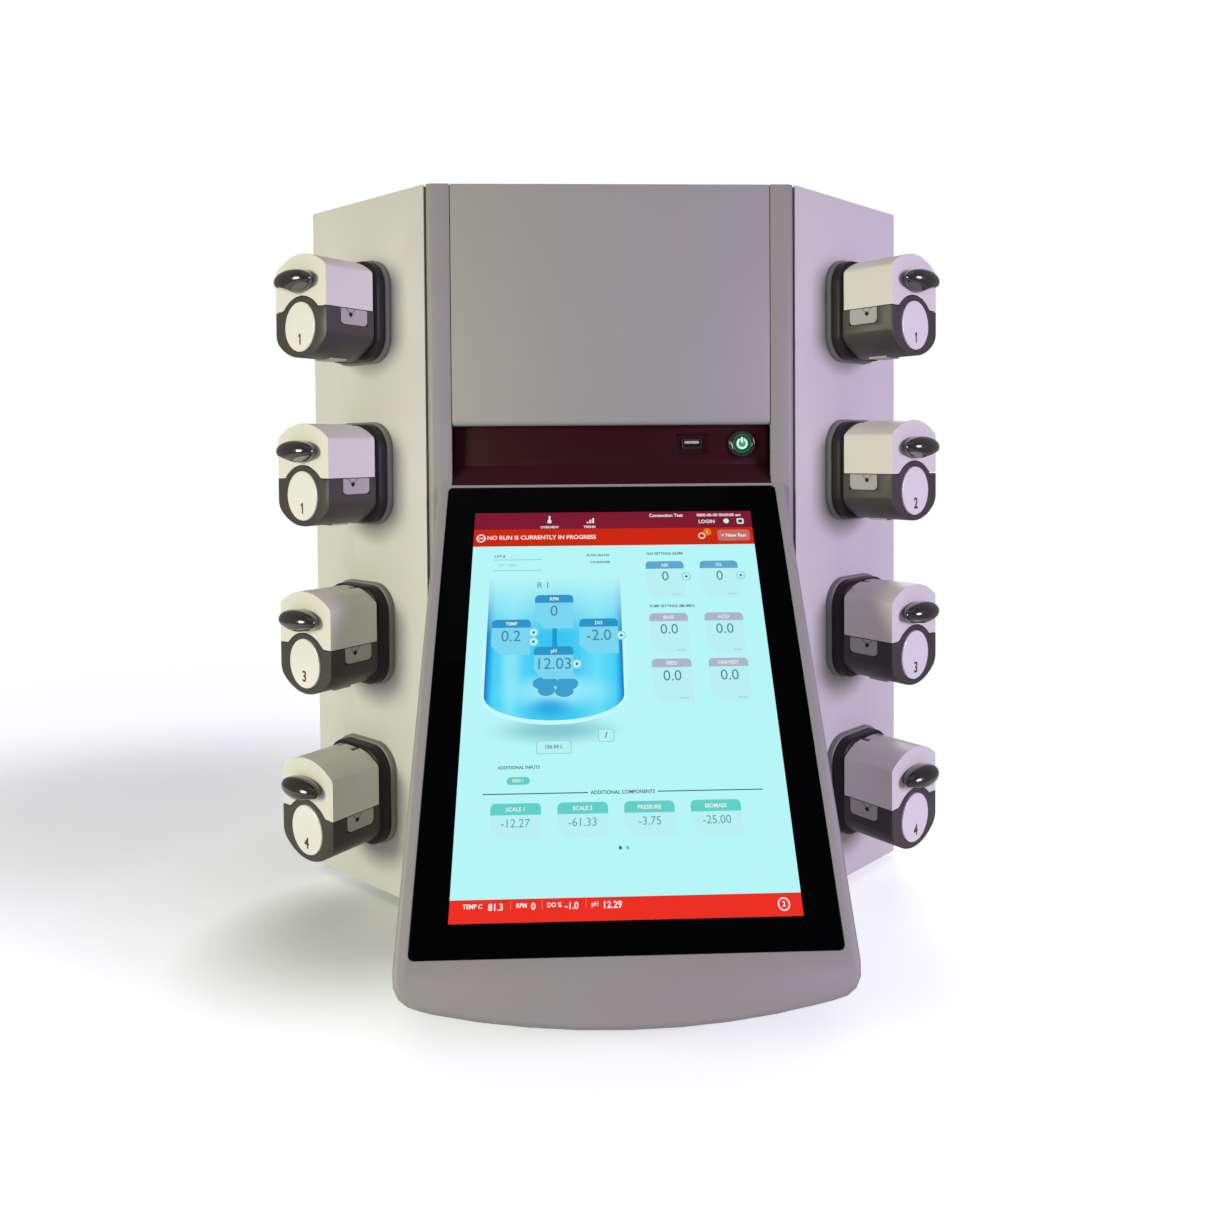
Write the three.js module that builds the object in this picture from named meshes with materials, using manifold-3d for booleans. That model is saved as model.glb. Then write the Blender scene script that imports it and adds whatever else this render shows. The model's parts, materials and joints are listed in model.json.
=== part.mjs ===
// Bench bioreactor control station: a folded-sheet cabinet with a moulded front bezel that carries
// a sloped touchscreen, and four peristaltic pump heads on each angled side cover.
// Millimetres, +Z up, the screen faces -Y. The origin is under the middle of the whole object.
import * as THREE from 'three';
import { mergeVertices } from 'three/addons/utils/BufferGeometryUtils.js';
import Module from 'manifold-3d';

const wasm = await Module();
wasm.setup();

// ---- driving dimensions -------------------------------------------------------------------

// fits
const SEAT = 0.3;              // gap round pieces set into others
const CONTACT = 0.05;          // gap where a foot carries the floor plate
const RUN = 0.15;              // radial clearance of a turning pin or shaft
const SEAM = 0.5;              // visible joint line round an inset panel

// cabinet
const FOOT_H = 5;              // rubber foot below the cabinet
const FOOT_R = 12;
const FOOT_FRONT_X = 105;
const FOOT_FRONT_Y = 45;
const FOOT_REAR_X = 190;
const FOOT_INSET = 28;         // rear feet, from the rear panel
const CABINET_H = 499;         // cabinet without feet
const SHEET = 3;               // cover sheet
const BASE_T = 4;              // floor plate
const BEZEL_HALF = 126;        // half width of the moulded front
const GROOVE = 1;              // shadow gap between bezel and side cover
const COVER_SETBACK = 1.6;      // side cover's front edge behind the bezel face
const SIDE_ANGLE = 39;         // side covers fold back from the front plane, degrees
const SIDE_LENGTH = 125.2;     // sloping run of a side cover
const CABINET_D = 250;         // from the front plane to the rear panel
const COVER_BEND = 5;          // outer bend radius of a side cover

// moulded front bezel
const BEZEL_T = 3.5;           // wall
const BEZEL_D = 22;            // how far its side walls reach back
const BEZEL_EDGE = 5;          // rounding of its upright outer edges
const BAR_H = 10;              // cross bars behind the panels
const WINDOW_HALF = 109.5;     // half width of the window for the panels above the screen

// sloped screen housing
const TILT = 55;               // screen plane above the bench plane, degrees
const EDGE_AHEAD = 1;          // upper edge of the screen face, ahead of the front plane
const EDGE_Z = 299.55;         // height of that edge
const FRAME_SIDE = 7.8;        // housing beside, above and below the glass
const FRAME_ABOVE = 2.1;
const FRAME_BELOW = 31.7;
const LIP_RADIUS = 535;        // shallow curve of the lower lip
const LIP_CORNER = 17;
const LIP_T = 14;              // edge thickness of the lip
const HOUSING_EDGE = 3;        // rounding where the face turns into the sides
const CHIN_REACH = 14;         // where the underside meets the cabinet, ahead of the front plane

// glass and display
const DISPLAY_W = 184.3;
const DISPLAY_H = 245.8;
const GLASS_SIDE = 19.05;      // black border beside the display
const GLASS_ABOVE = 20.2;      // black border above the display
const GLASS_BELOW = 16.1;
const GLASS_T = 2;
const GLASS_CORNER = 3;
const MODULE_T = 9;            // display module behind the glass
const MODULE_BORDER = 7;

// recess with the port and the power button
const RECESS_D = 8;            // back of the recess behind the front plane
const RECESS_T = 2.5;
const RECESS_TOP = 345;        // top edge of its panel, behind the upper panel
const UPPER_BOTTOM = 339.8;    // lower edge of the upper panel
const UPPER_LIP = 3.5;         // rounding of that edge, and the flange behind it
const CONTROL_Z = 326.8;       // height of the port and the button
const PORT_X = 56;
const PORT_POCKET_W = 22.6;
const PORT_POCKET_H = 13.6;
const PORT_POCKET_D = 3;
const PORT_W = 13.8;
const PORT_H = 6.4;
const PORT_D = 14;
const PORT_SKIN = 0.6;
const BUTTON_X = 90.6;
const RING_R = 9.9;
const RING_H = 2.6;            // how far the ring stands off its panel
const BARREL_R = 7.9;
const BARREL_L = 24;
const CAP_R = 6.6;
const CAP_T = 3.2;
const CAP_SUNK = 0.8;          // cap face below the top of the ring
const BUTTON_TRAVEL = 1.5;
const STEM_R = 2;

// rear inlet and inner pieces
const INLET_W = 28;
const INLET_H = 21;
const INLET_D = 24;
const INLET_WALL = 2.5;
const INLET_FLANGE = 3;
const INLET_X = -150;
const INLET_Z = 60;
const VENT_COUNT = 9;
const VENT_W = 4;
const VENT_H = 60;
const VENT_PITCH = 12;
const VENT_Z = 400;
const SUPPLY = { w: 100, d: 96, h: 46 };
const SUPPLY_X = -105;
const SUPPLY_BEHIND = 39;      // from its rear face to the rear panel
const BOARD = { w: 170, d: 120, t: 1.6 };
const BOARD_X = 75;
const BOARD_BEHIND = 40;
const CHIP = 18;
const STANDOFF_H = 8;
const STANDOFF_R = 3;

// pump head, measured from the rotor axis and from the cover's outer face
const PUMP_LIFT = 58.1;        // rotor axis of the lowest pump, from the underside of the cabinet
const PUMP_DOWN = 95.9;        // rotor axis of the highest pump, from the top of the cabinet
const PUMP_ROWS = 4;
const PUMP_ALONG = 67.15;      // from the front edge of the side cover
const PUMP_HALF = 28.7;
const PUMP_OUT = 50.9;         // front face of the head
const GASKET_T = 1.2;
const PLATE_T = 11.1;
const PLATE_GROW = 3.5;        // back plate wider than the head on each side
const PLATE_TOP_R = 18;
const PLATE_LOW_R = 17;
const GASKET_RIM = 1.5;        // gasket beyond the back plate all round
const LID_LINE = 11.9;         // joint between body and lid
const LID_GAP = 0.6;
const LID_TOP = 49.3;
const LID_CROWN = 45.5;        // radius of the arched top
const BODY_BOTTOM = 20.9;
const BODY_CROWN = 38;
const CORNER = 6;
const BODY_CORNER = 10;        // lower corners of the body
const LID_WALL = 2.5;
const BELL_RADIUS = 26.5;      // raised arch of the body round its badge
const BELL_TOP = 20.5;
const BELL_HALF = 17;
const BELL_FOOT = 24.5;
const FRONT_WALL = 6.9;
const BADGE_R = 17;
const BADGE_T = 1.8;
const BADGE_PROUD = 1;
const ROTOR_R = 15;
const ROLLER_R = 4.5;
const ROLLERS = 4;
const ROTOR_DISC_R = 13;
const ROTOR_DISC_T = 2;
const ROTOR_L = 25;
const CHAMBER_GAP = 1.5;       // round the rotor
const SHAFT_R = 3;
const SHAFT_REACH = 8;         // shaft inside the motor
const TRACK_R = 21;            // pressure track in the lid, twice a 3 mm tube wall past the rollers
const TRACK_L = 22;
const TRACK_BACK = 4.5;
const NOTCH_OUT = 29.5;        // tube notch, from the cover's face
const NOTCH_HALF = 5;
const NOTCH_DEPTH = 6;
const CLAMP_IN = 17.5;         // shallow seat of a tube clamp, on both side faces
const CLAMP_OUT = 39.8;
const CLAMP_LOW = 0.6;
const CLAMP_SUNK = 1.2;
const PIN_R = 1.5;
const PIN_OUT = 17;
const PIN_Z = 45.4;
const EAR_T = 3;
const EAR_X = 6.3;             // inner face of an ear
const EAR_R = 2.4;
const KNUCKLE_GAP = 0.5;
const MOTOR_R = 17.5;
const MOTOR_L = 60;
const TAB_HALF = 24;           // thumb tab on the lid
const TAB_Z = 30.4;
const TAB_STANDOFF = 5;        // its middle line ahead of the lid's face
const TAB_OUT = 9;             // half depth and half height of its middle
const TAB_HIGH = 7.3;

// facets
const ARC = 4;
const TAB_STEPS = 8;
const ROUND = 16;

// ---- derived places -----------------------------------------------------------------------

const deg = THREE.MathUtils.degToRad;
const TOP = FOOT_H + CABINET_H;
const slope = new THREE.Vector2(Math.cos(deg(TILT)), Math.sin(deg(TILT)));   // up the screen, in Y and Z
const inward = new THREE.Vector2(Math.sin(deg(TILT)), -Math.cos(deg(TILT))); // into the housing
const GLASS_HALF = DISPLAY_W / 2 + GLASS_SIDE;
const HOUSING_HALF = GLASS_HALF + FRAME_SIDE;
const HOUSING_TOP = DISPLAY_H / 2 + GLASS_ABOVE + FRAME_ABOVE;       // along the slope from the middle
const HOUSING_BOTTOM = DISPLAY_H / 2 + GLASS_BELOW + FRAME_BELOW;
const SCREEN_Y = -EDGE_AHEAD - HOUSING_TOP * slope.x;                // middle of the display
const SCREEN_Z = EDGE_Z - HOUSING_TOP * slope.y;
const COVER_X = BEZEL_HALF + GROOVE;
const PUMP_PITCH = (CABINET_H - PUMP_DOWN - PUMP_LIFT) / (PUMP_ROWS - 1);
const SIDE_X = COVER_X + SIDE_LENGTH * Math.cos(deg(SIDE_ANGLE));
const SIDE_Y = COVER_SETBACK + SIDE_LENGTH * Math.sin(deg(SIDE_ANGLE));

// A point of the screen plane: up the slope from the display's middle, and into the housing.
function onSlope(up, into = 0) {
  return new THREE.Vector2(SCREEN_Y, SCREEN_Z).addScaledVector(slope, up).addScaledVector(inward, into);
}

// ---- solids ---------------------------------------------------------------------------------

function toSolid(geometry) {
  const bare = geometry.clone();
  bare.deleteAttribute('normal');
  bare.deleteAttribute('uv');
  const merged = mergeVertices(bare, 1e-4);
  return new wasm.Manifold(new wasm.Mesh({
    numProp: 3,
    vertProperties: new Float32Array(merged.attributes.position.array),
    triVerts: new Uint32Array(merged.index.array),
  }));
}

function toGeometry(solid) {
  const mesh = solid.getMesh();
  const geometry = new THREE.BufferGeometry();
  geometry.setAttribute('position', new THREE.BufferAttribute(new Float32Array(mesh.vertProperties), 3));
  geometry.setIndex(new THREE.BufferAttribute(new Uint32Array(mesh.triVerts), 1));
  return geometry;
}

function join(...geometries) {
  return toGeometry(geometries.map(toSolid).reduce((a, b) => a.add(b)));
}

function cut(geometry, ...tools) {
  return toGeometry(tools.map(toSolid).reduce((a, b) => a.subtract(b), toSolid(geometry)));
}

function common(a, b) {
  return toGeometry(toSolid(a).intersect(toSolid(b)));
}

function block(x0, x1, y0, y1, z0, z1) {
  return new THREE.BoxGeometry(x1 - x0, y1 - y0, z1 - z0)
    .translate((x0 + x1) / 2, (y0 + y1) / 2, (z0 + z1) / 2);
}

// A round bar along Y; out0 and out1 are distances towards the front.
function barY(radius, out0, out1, x = 0, z = 0, sides = ROUND) {
  return new THREE.CylinderGeometry(radius, radius, out1 - out0, sides)
    .translate(x, -(out0 + out1) / 2, z);
}

function barX(radius, x0, x1, y, z, sides = ROUND) {
  return new THREE.CylinderGeometry(radius, radius, x1 - x0, sides)
    .rotateZ(Math.PI / 2).translate((x0 + x1) / 2, y, z);
}

function barZ(radius, z0, z1, x, y, sides = ROUND) {
  return new THREE.CylinderGeometry(radius, radius, z1 - z0, sides)
    .rotateX(Math.PI / 2).translate(x, y, (z0 + z1) / 2);
}

function extruded(shape, depth, bevel = 0) {
  return new THREE.ExtrudeGeometry(shape, {
    depth: depth - bevel,
    curveSegments: ARC,
    bevelEnabled: bevel > 0,
    bevelThickness: bevel,
    bevelSize: bevel,
    bevelOffset: -bevel,
    bevelSegments: 3,
  });
}

// Shape in X and Z, extruded towards the front from out0 to out1.
function facing(shape, out0, out1) {
  const basis = new THREE.Matrix4().makeBasis(
    new THREE.Vector3(1, 0, 0), new THREE.Vector3(0, 0, 1), new THREE.Vector3(0, -1, 0));
  return extruded(shape, out1 - out0).applyMatrix4(basis).translate(0, -out0, 0);
}

// Shape in Y and Z, extruded along X.
function across(shape, x0, x1) {
  const basis = new THREE.Matrix4().makeBasis(
    new THREE.Vector3(0, 1, 0), new THREE.Vector3(0, 0, 1), new THREE.Vector3(1, 0, 0));
  return extruded(shape, x1 - x0).applyMatrix4(basis).translate(x0, 0, 0);
}

// Shape in X and Y, extruded upwards.
function upright(shape, z0, z1) {
  return extruded(shape, z1 - z0).translate(0, 0, z0);
}

// Shape drawn on the screen plane, sunk from depth into0 to into1. A bevel rounds its outer rim.
function onScreen(shape, into0, into1, bevel = 0) {
  const start = onSlope(0, into1);
  const basis = new THREE.Matrix4().makeBasis(
    new THREE.Vector3(1, 0, 0), new THREE.Vector3(0, slope.x, slope.y),
    new THREE.Vector3(0, -inward.x, -inward.y));
  return extruded(shape, into1 - into0, bevel).applyMatrix4(basis).translate(0, start.x, start.y);
}

function polygon(points) {
  return new THREE.Shape(points.map(([x, y]) => new THREE.Vector2(x, y)));
}

function roundedRect(x0, x1, y0, y1, lower, upper = lower) {
  const shape = new THREE.Shape();
  shape.moveTo(x0 + lower, y0);
  shape.lineTo(x1 - lower, y0);
  shape.absarc(x1 - lower, y0 + lower, lower, -Math.PI / 2, 0);
  shape.lineTo(x1, y1 - upper);
  shape.absarc(x1 - upper, y1 - upper, upper, 0, Math.PI / 2);
  shape.lineTo(x0 + upper, y1);
  shape.absarc(x0 + upper, y1 - upper, upper, Math.PI / 2, Math.PI);
  shape.lineTo(x0, y0 + lower);
  shape.absarc(x0 + lower, y0 + lower, lower, Math.PI, Math.PI * 1.5);
  return shape;
}

// ---- cabinet ----------------------------------------------------------------------------------

// Outside corner points of one side cover in plan, moved inwards by a distance.
function coverLine(inset) {
  const half = deg(90 - SIDE_ANGLE) / 2;
  const start = [COVER_X, COVER_SETBACK + inset / Math.cos(deg(SIDE_ANGLE))];
  const corner = [SIDE_X - inset, SIDE_Y + inset * Math.tan(half)];
  return { start, corner };
}

function sideCover(side) {
  const outer = coverLine(0);
  const inner = coverLine(SHEET);
  const bend = COVER_BEND * Math.tan(deg(90 - SIDE_ANGLE) / 2);
  const along = [Math.cos(deg(SIDE_ANGLE)), Math.sin(deg(SIDE_ANGLE))];
  const shape = new THREE.Shape();
  shape.moveTo(side * outer.start[0], outer.start[1]);
  shape.lineTo(side * (outer.corner[0] - bend * along[0]), outer.corner[1] - bend * along[1]);
  shape.quadraticCurveTo(side * outer.corner[0], outer.corner[1], side * SIDE_X, outer.corner[1] + bend);
  shape.lineTo(side * SIDE_X, CABINET_D);
  shape.lineTo(side * (SIDE_X - SHEET), CABINET_D);
  shape.lineTo(side * inner.corner[0], inner.corner[1]);
  shape.lineTo(side * inner.start[0], inner.start[1]);
  const holes = pumpPlaces(side).map((place) =>
    barY(MOTOR_R + SEAT, -2 * SHEET, SHEET).rotateZ(place.turn).translate(place.x, place.y, place.z));
  return cut(upright(shape, FOOT_H, TOP), ...holes);
}

// Plan of the floor plate and the top cover, clear of the covers, the bezel and the rear panel.
function insidePlan() {
  const { start, corner } = coverLine(SHEET + SEAT);
  const bezel = [BEZEL_HALF + SEAT, BEZEL_D + SEAT];
  const rear = CABINET_D - SHEET - SEAT;
  const right = [bezel, start, corner, [corner[0], rear]];
  return polygon([...right, ...right.map(([x, y]) => [-x, y]).reverse()]);
}

function footPlaces() {
  const rearY = CABINET_D - FOOT_INSET;
  return [
    ['front_left', -FOOT_FRONT_X, FOOT_FRONT_Y],
    ['front_right', FOOT_FRONT_X, FOOT_FRONT_Y],
    ['rear_left', -FOOT_REAR_X, rearY],
    ['rear_right', FOOT_REAR_X, rearY],
  ];
}

function foot(x, y) {
  return barZ(FOOT_R, 0, FOOT_H - CONTACT, x, y);
}

function rearPanel() {
  const half = SIDE_X - SHEET - SEAT;
  const plate = block(-half, half, CABINET_D - SHEET, CABINET_D, FOOT_H, TOP);
  const vents = Array.from({ length: VENT_COUNT }, (_, i) => {
    const x = (i - (VENT_COUNT - 1) / 2) * VENT_PITCH;
    return block(x - VENT_W / 2, x + VENT_W / 2, CABINET_D - 2 * SHEET, CABINET_D + SHEET,
      VENT_Z - VENT_H / 2, VENT_Z + VENT_H / 2);
  });
  const inlet = block(INLET_X - INLET_W / 2 - SEAT, INLET_X + INLET_W / 2 + SEAT,
    CABINET_D - 2 * SHEET, CABINET_D + SHEET, INLET_Z - INLET_H / 2 - SEAT, INLET_Z + INLET_H / 2 + SEAT);
  return cut(plate, ...vents, inlet);
}

// ---- front bezel ------------------------------------------------------------------------------

// Outline of the housing face on the screen plane: straight sides, curved lip, rounded lower corners.
function housingOutline(inset) {
  const half = HOUSING_HALF - inset;
  const low = -HOUSING_BOTTOM + inset;
  const radius = LIP_RADIUS - inset;
  const corner = LIP_CORNER - inset;
  const reach = half - corner;
  const rise = radius - Math.sqrt(radius * radius - reach * reach);
  const angle = Math.asin(reach / radius);
  const up = HOUSING_TOP + 3 * BAR_H;
  const shape = new THREE.Shape();
  shape.moveTo(-half, up);
  shape.lineTo(-half, low + rise + corner);
  shape.quadraticCurveTo(-half, low + rise + corner * 0.12, -reach, low + rise);
  shape.absarc(0, low + radius, radius, -Math.PI / 2 - angle, -Math.PI / 2 + angle);
  shape.quadraticCurveTo(half, low + rise + corner * 0.12, half, low + rise + corner);
  shape.lineTo(half, up);
  return shape;
}

// Side view of what lies above the underside of the wedge; inset gives the hollow inside it.
function wedgeProfile(inset) {
  const under = onSlope(-HOUSING_BOTTOM, LIP_T);
  const front = under.x - 2 * LIP_T;
  const rise = (under.y - FOOT_H) / (under.x + CHIN_REACH);
  const back = inset > 0 ? BEZEL_D : BEZEL_T;
  return polygon([
    [front, FOOT_H + inset + (front + CHIN_REACH) * rise],
    [-CHIN_REACH, FOOT_H + inset],
    [back, FOOT_H + inset],
    [back, TOP],
    [front, TOP],
  ]);
}

function frontBezel() {
  const depth = 400;
  const outer = common(onScreen(housingOutline(0), 0, depth, HOUSING_EDGE),
    across(wedgeProfile(0), -HOUSING_HALF, HOUSING_HALF));
  const wedge = common(outer,
    block(-BEZEL_HALF, BEZEL_HALF, -depth, BEZEL_T, FOOT_H, recessStart().y + BEZEL_T));
  const faceT = GLASS_T + SEAT + BEZEL_T;
  const hollow = common(onScreen(housingOutline(BEZEL_T), faceT, depth),
    across(wedgeProfile(BEZEL_T), -HOUSING_HALF, HOUSING_HALF));
  const plan = roundedRect(-BEZEL_HALF, BEZEL_HALF, 0, BEZEL_D, BEZEL_EDGE, 0.5);
  const shell = cut(upright(plan, FOOT_H, TOP),
    block(-BEZEL_HALF + BEZEL_T, BEZEL_HALF - BEZEL_T, BEZEL_T, 2 * BEZEL_D, FOOT_H + BEZEL_T, TOP + 1),
    block(-WINDOW_HALF, WINDOW_HALF, -1, 2 * BEZEL_D, recessStart().y - 2 * BEZEL_T, TOP + 1));
  const inside = BEZEL_HALF - BEZEL_T / 2;
  const topBar = block(-inside, inside, SHEET + SEAT, BEZEL_D, TOP - BAR_H, TOP);
  const midBar = block(-inside, inside, RECESS_D + RECESS_T + SEAT, BEZEL_D,
    UPPER_BOTTOM - 1, UPPER_BOTTOM + BAR_H);
  const above = roundedRect(-WINDOW_HALF, WINDOW_HALF, HOUSING_TOP, HOUSING_TOP + 6 * BAR_H, 0.5);
  const glassSeat = roundedRect(-GLASS_HALF - SEAT, GLASS_HALF + SEAT, -DISPLAY_H / 2 - GLASS_BELOW - SEAT,
    DISPLAY_H / 2 + GLASS_ABOVE + SEAT, GLASS_CORNER + SEAT);
  const opening = roundedRect(-DISPLAY_W / 2 - MODULE_BORDER - SEAT, DISPLAY_W / 2 + MODULE_BORDER + SEAT,
    -DISPLAY_H / 2 - MODULE_BORDER - SEAT, DISPLAY_H / 2 + MODULE_BORDER + SEAT, 0.5);
  const mouth = block(-HOUSING_HALF + BEZEL_T, HOUSING_HALF - BEZEL_T, -1, 2 * BEZEL_D,
    FOOT_H + BEZEL_T, recessStart().y - 2 * BEZEL_T);
  return cut(join(cut(join(shell, wedge), onScreen(above, -20, RECESS_T + SEAT)), topBar, midBar),
    hollow, mouth, onScreen(glassSeat, -1, GLASS_T + SEAT), onScreen(opening, 0, 2 * faceT));
}

function touchGlass() {
  const shape = roundedRect(-GLASS_HALF, GLASS_HALF, -DISPLAY_H / 2 - GLASS_BELOW,
    DISPLAY_H / 2 + GLASS_ABOVE, GLASS_CORNER);
  return onScreen(shape, 0, GLASS_T);
}

function displayModule() {
  const halfW = DISPLAY_W / 2 + MODULE_BORDER;
  const halfH = DISPLAY_H / 2 + MODULE_BORDER;
  return onScreen(roundedRect(-halfW, halfW, -halfH, halfH, 1), GLASS_T + SEAT, GLASS_T + SEAT + MODULE_T);
}

// ---- panels above the screen --------------------------------------------------------------------

function recessStart() {
  return onSlope(HOUSING_TOP + SEAT);
}

// Sheet that carries on up the screen's slope into the recess, then stands upright behind the controls.
function recessPanel() {
  const start = recessStart();
  const bend = new THREE.Vector2(RECESS_D, start.y + (RECESS_D - start.x) * Math.tan(deg(TILT)));
  const back = start.clone().addScaledVector(inward, RECESS_T);
  const backX = RECESS_D + RECESS_T;
  const shape = polygon([[start.x, start.y], [back.x, back.y],
    [backX, back.y + (backX - back.x) * Math.tan(deg(TILT))], [backX, RECESS_TOP],
    [RECESS_D, RECESS_TOP], [bend.x, bend.y]]);
  const half = WINDOW_HALF - SEAT;
  const sheet = across(shape, -half, half);
  const boss = portBlock(PORT_POCKET_W / 2 + RECESS_T, PORT_POCKET_H / 2 + RECESS_T, RECESS_D + 0.5,
    RECESS_D + PORT_POCKET_D + RECESS_T);
  const pocket = portBlock(PORT_POCKET_W / 2, PORT_POCKET_H / 2, 0, RECESS_D + PORT_POCKET_D);
  const slot = portBlock(PORT_W / 2 + SEAT, PORT_H / 2 + SEAT, 0, 2 * BEZEL_D);
  const hole = barY(BARREL_R + SEAT, -2 * BEZEL_D, 0, BUTTON_X, CONTROL_Z);
  return cut(join(sheet, boss), pocket, slot, hole);
}

function portBlock(halfW, halfH, y0, y1) {
  return block(PORT_X - halfW, PORT_X + halfW, y0, y1, CONTROL_Z - halfH, CONTROL_Z + halfH);
}

function upperPanel() {
  const shape = new THREE.Shape();
  const flange = RECESS_D - SEAT;
  shape.moveTo(0, TOP);
  shape.lineTo(0, UPPER_BOTTOM + UPPER_LIP);
  shape.absarc(UPPER_LIP, UPPER_BOTTOM + UPPER_LIP, UPPER_LIP, Math.PI, Math.PI * 1.5);
  shape.lineTo(flange, UPPER_BOTTOM);
  shape.lineTo(flange, UPPER_BOTTOM + UPPER_LIP + 1);
  shape.lineTo(SHEET, UPPER_BOTTOM + UPPER_LIP + 1);
  shape.lineTo(SHEET, TOP);
  const half = WINDOW_HALF - SEAM;
  return across(shape, -half, half);
}

function usbSocket() {
  const front = RECESS_D + PORT_POCKET_D - 1;
  const shell = portBlock(PORT_W / 2, PORT_H / 2, front, front + PORT_D);
  const mouth = portBlock(PORT_W / 2 - PORT_SKIN, PORT_H / 2 - PORT_SKIN, front - 1, front + PORT_D - 2);
  return cut(shell, mouth);
}

// Lathe profile points are radius and distance in front of the recess panel's face.
function latheFront(profile, x, y, z, sides = 16) {
  return new THREE.LatheGeometry(profile.map(([r, h]) => new THREE.Vector2(r, h)), sides)
    .rotateX(Math.PI).translate(x, y, z);
}

function powerSwitch() {
  const pocket = RING_H - CAP_SUNK - CAP_T - BUTTON_TRAVEL - SEAT;
  const seat = SEAT / 2;
  const stemEnd = pocket - 8 - BUTTON_TRAVEL;
  return latheFront([[0, -BARREL_L], [BARREL_R, -BARREL_L], [BARREL_R, seat], [RING_R, seat],
    [RING_R, 1], [RING_R - 1.4, RING_H], [CAP_R + SEAT, RING_H - 0.4], [CAP_R + SEAT, pocket],
    [STEM_R + SEAT, pocket], [STEM_R + SEAT, stemEnd], [0, stemEnd]], BUTTON_X, RECESS_D, CONTROL_Z);
}

function powerButton() {
  const face = RING_H - CAP_SUNK;
  return latheFront([[0, face - CAP_T - 7.5], [STEM_R, face - CAP_T - 7.5], [STEM_R, face - CAP_T],
    [CAP_R, face - CAP_T], [CAP_R, face - 0.5], [CAP_R - 0.5, face], [0, face]],
  BUTTON_X, RECESS_D, CONTROL_Z);
}

// ---- rear inlet and inner pieces ------------------------------------------------------------------

function powerInlet() {
  const rear = CABINET_D + SEAT;
  const body = block(INLET_X - INLET_W / 2, INLET_X + INLET_W / 2, rear - INLET_D, rear + INLET_FLANGE / 2,
    INLET_Z - INLET_H / 2, INLET_Z + INLET_H / 2);
  const flange = block(INLET_X - INLET_W / 2 - 9, INLET_X + INLET_W / 2 + 9, rear, rear + INLET_FLANGE,
    INLET_Z - INLET_H / 2 - 2, INLET_Z + INLET_H / 2 + 2);
  const cavity = block(INLET_X - INLET_W / 2 + INLET_WALL, INLET_X + INLET_W / 2 - INLET_WALL,
    rear - INLET_D + 5, rear + 2 * INLET_FLANGE,
    INLET_Z - INLET_H / 2 + INLET_WALL, INLET_Z + INLET_H / 2 - INLET_WALL);
  return cut(join(body, flange), cavity);
}

function slab(x, y, w, d, z, high) {
  return block(x - w / 2, x + w / 2, y - d / 2, y + d / 2, z, z + high);
}

// Slabs on four legs that stand on the floor plate.
function onLegs(x, y, w, d, legs, slabs) {
  const floor = FOOT_H + BASE_T;
  const inset = 2 * STANDOFF_R;
  const corners = [[-1, -1], [1, -1], [-1, 1], [1, 1]];
  const pillars = corners.map(([i, j]) => barZ(STANDOFF_R, floor, floor + legs + 0.5,
    x + i * (w / 2 - inset), y + j * (d / 2 - inset), 8));
  return join(...slabs, ...pillars);
}

function powerSupply() {
  const x = SUPPLY_X;
  const y = CABINET_D - SUPPLY.d / 2 - SUPPLY_BEHIND;
  const z = FOOT_H + BASE_T + STANDOFF_H;
  return onLegs(x, y, SUPPLY.w, SUPPLY.d, STANDOFF_H, [slab(x, y, SUPPLY.w, SUPPLY.d, z, SUPPLY.h)]);
}

function controllerBoard() {
  const x = BOARD_X;
  const y = CABINET_D - BOARD.d / 2 - BOARD_BEHIND;
  const z = FOOT_H + BASE_T + STANDOFF_H;
  const layout = [[-0.3, 0.16, 1, 0.7], [0.06, -0.12, 1.5, 0.4], [0.32, 0.25, 0.8, 0.9]];
  const chips = layout.map(([i, j, wide, high]) =>
    slab(x + i * BOARD.w, y + j * BOARD.d, wide * CHIP, wide * CHIP, z + BOARD.t / 2, high * CHIP));
  return onLegs(x, y, BOARD.w, BOARD.d, STANDOFF_H, [slab(x, y, BOARD.w, BOARD.d, z, BOARD.t), ...chips]);
}

// ---- pump head --------------------------------------------------------------------------------------
// Drawn facing -Y with its rotor axis on the Y axis; Y = 0 is the side cover's outer face.

function pumpPlaces(side) {
  const along = new THREE.Vector2(Math.cos(deg(SIDE_ANGLE)), Math.sin(deg(SIDE_ANGLE)));
  return Array.from({ length: PUMP_ROWS }, (_, row) => ({
    x: side * (COVER_X + PUMP_ALONG * along.x),
    y: COVER_SETBACK + PUMP_ALONG * along.y,
    z: TOP - PUMP_DOWN - row * PUMP_PITCH,
    turn: side * deg(SIDE_ANGLE),
  }));
}

function crownAt(x, inset = 0) {
  const radius = LID_CROWN - inset;
  return LID_TOP - LID_CROWN + Math.sqrt(radius * radius - x * x);
}

// Arched lid outline from a base height up; inset gives its hollow.
function lidOutline(base, inset = 0) {
  const half = PUMP_HALF - inset;
  const corner = CORNER - inset / 2;
  const side = crownAt(half, inset);
  const shape = new THREE.Shape();
  const angle = Math.asin((half - corner) / (LID_CROWN - inset));
  shape.moveTo(-half, base);
  shape.lineTo(half, base);
  shape.lineTo(half, side - corner);
  shape.quadraticCurveTo(half, side, half - corner, crownAt(half - corner, inset));
  shape.absarc(0, LID_TOP - LID_CROWN, LID_CROWN - inset, Math.PI / 2 - angle, Math.PI / 2 + angle);
  shape.quadraticCurveTo(-half, side, -half, side - corner);
  return shape;
}

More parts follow.
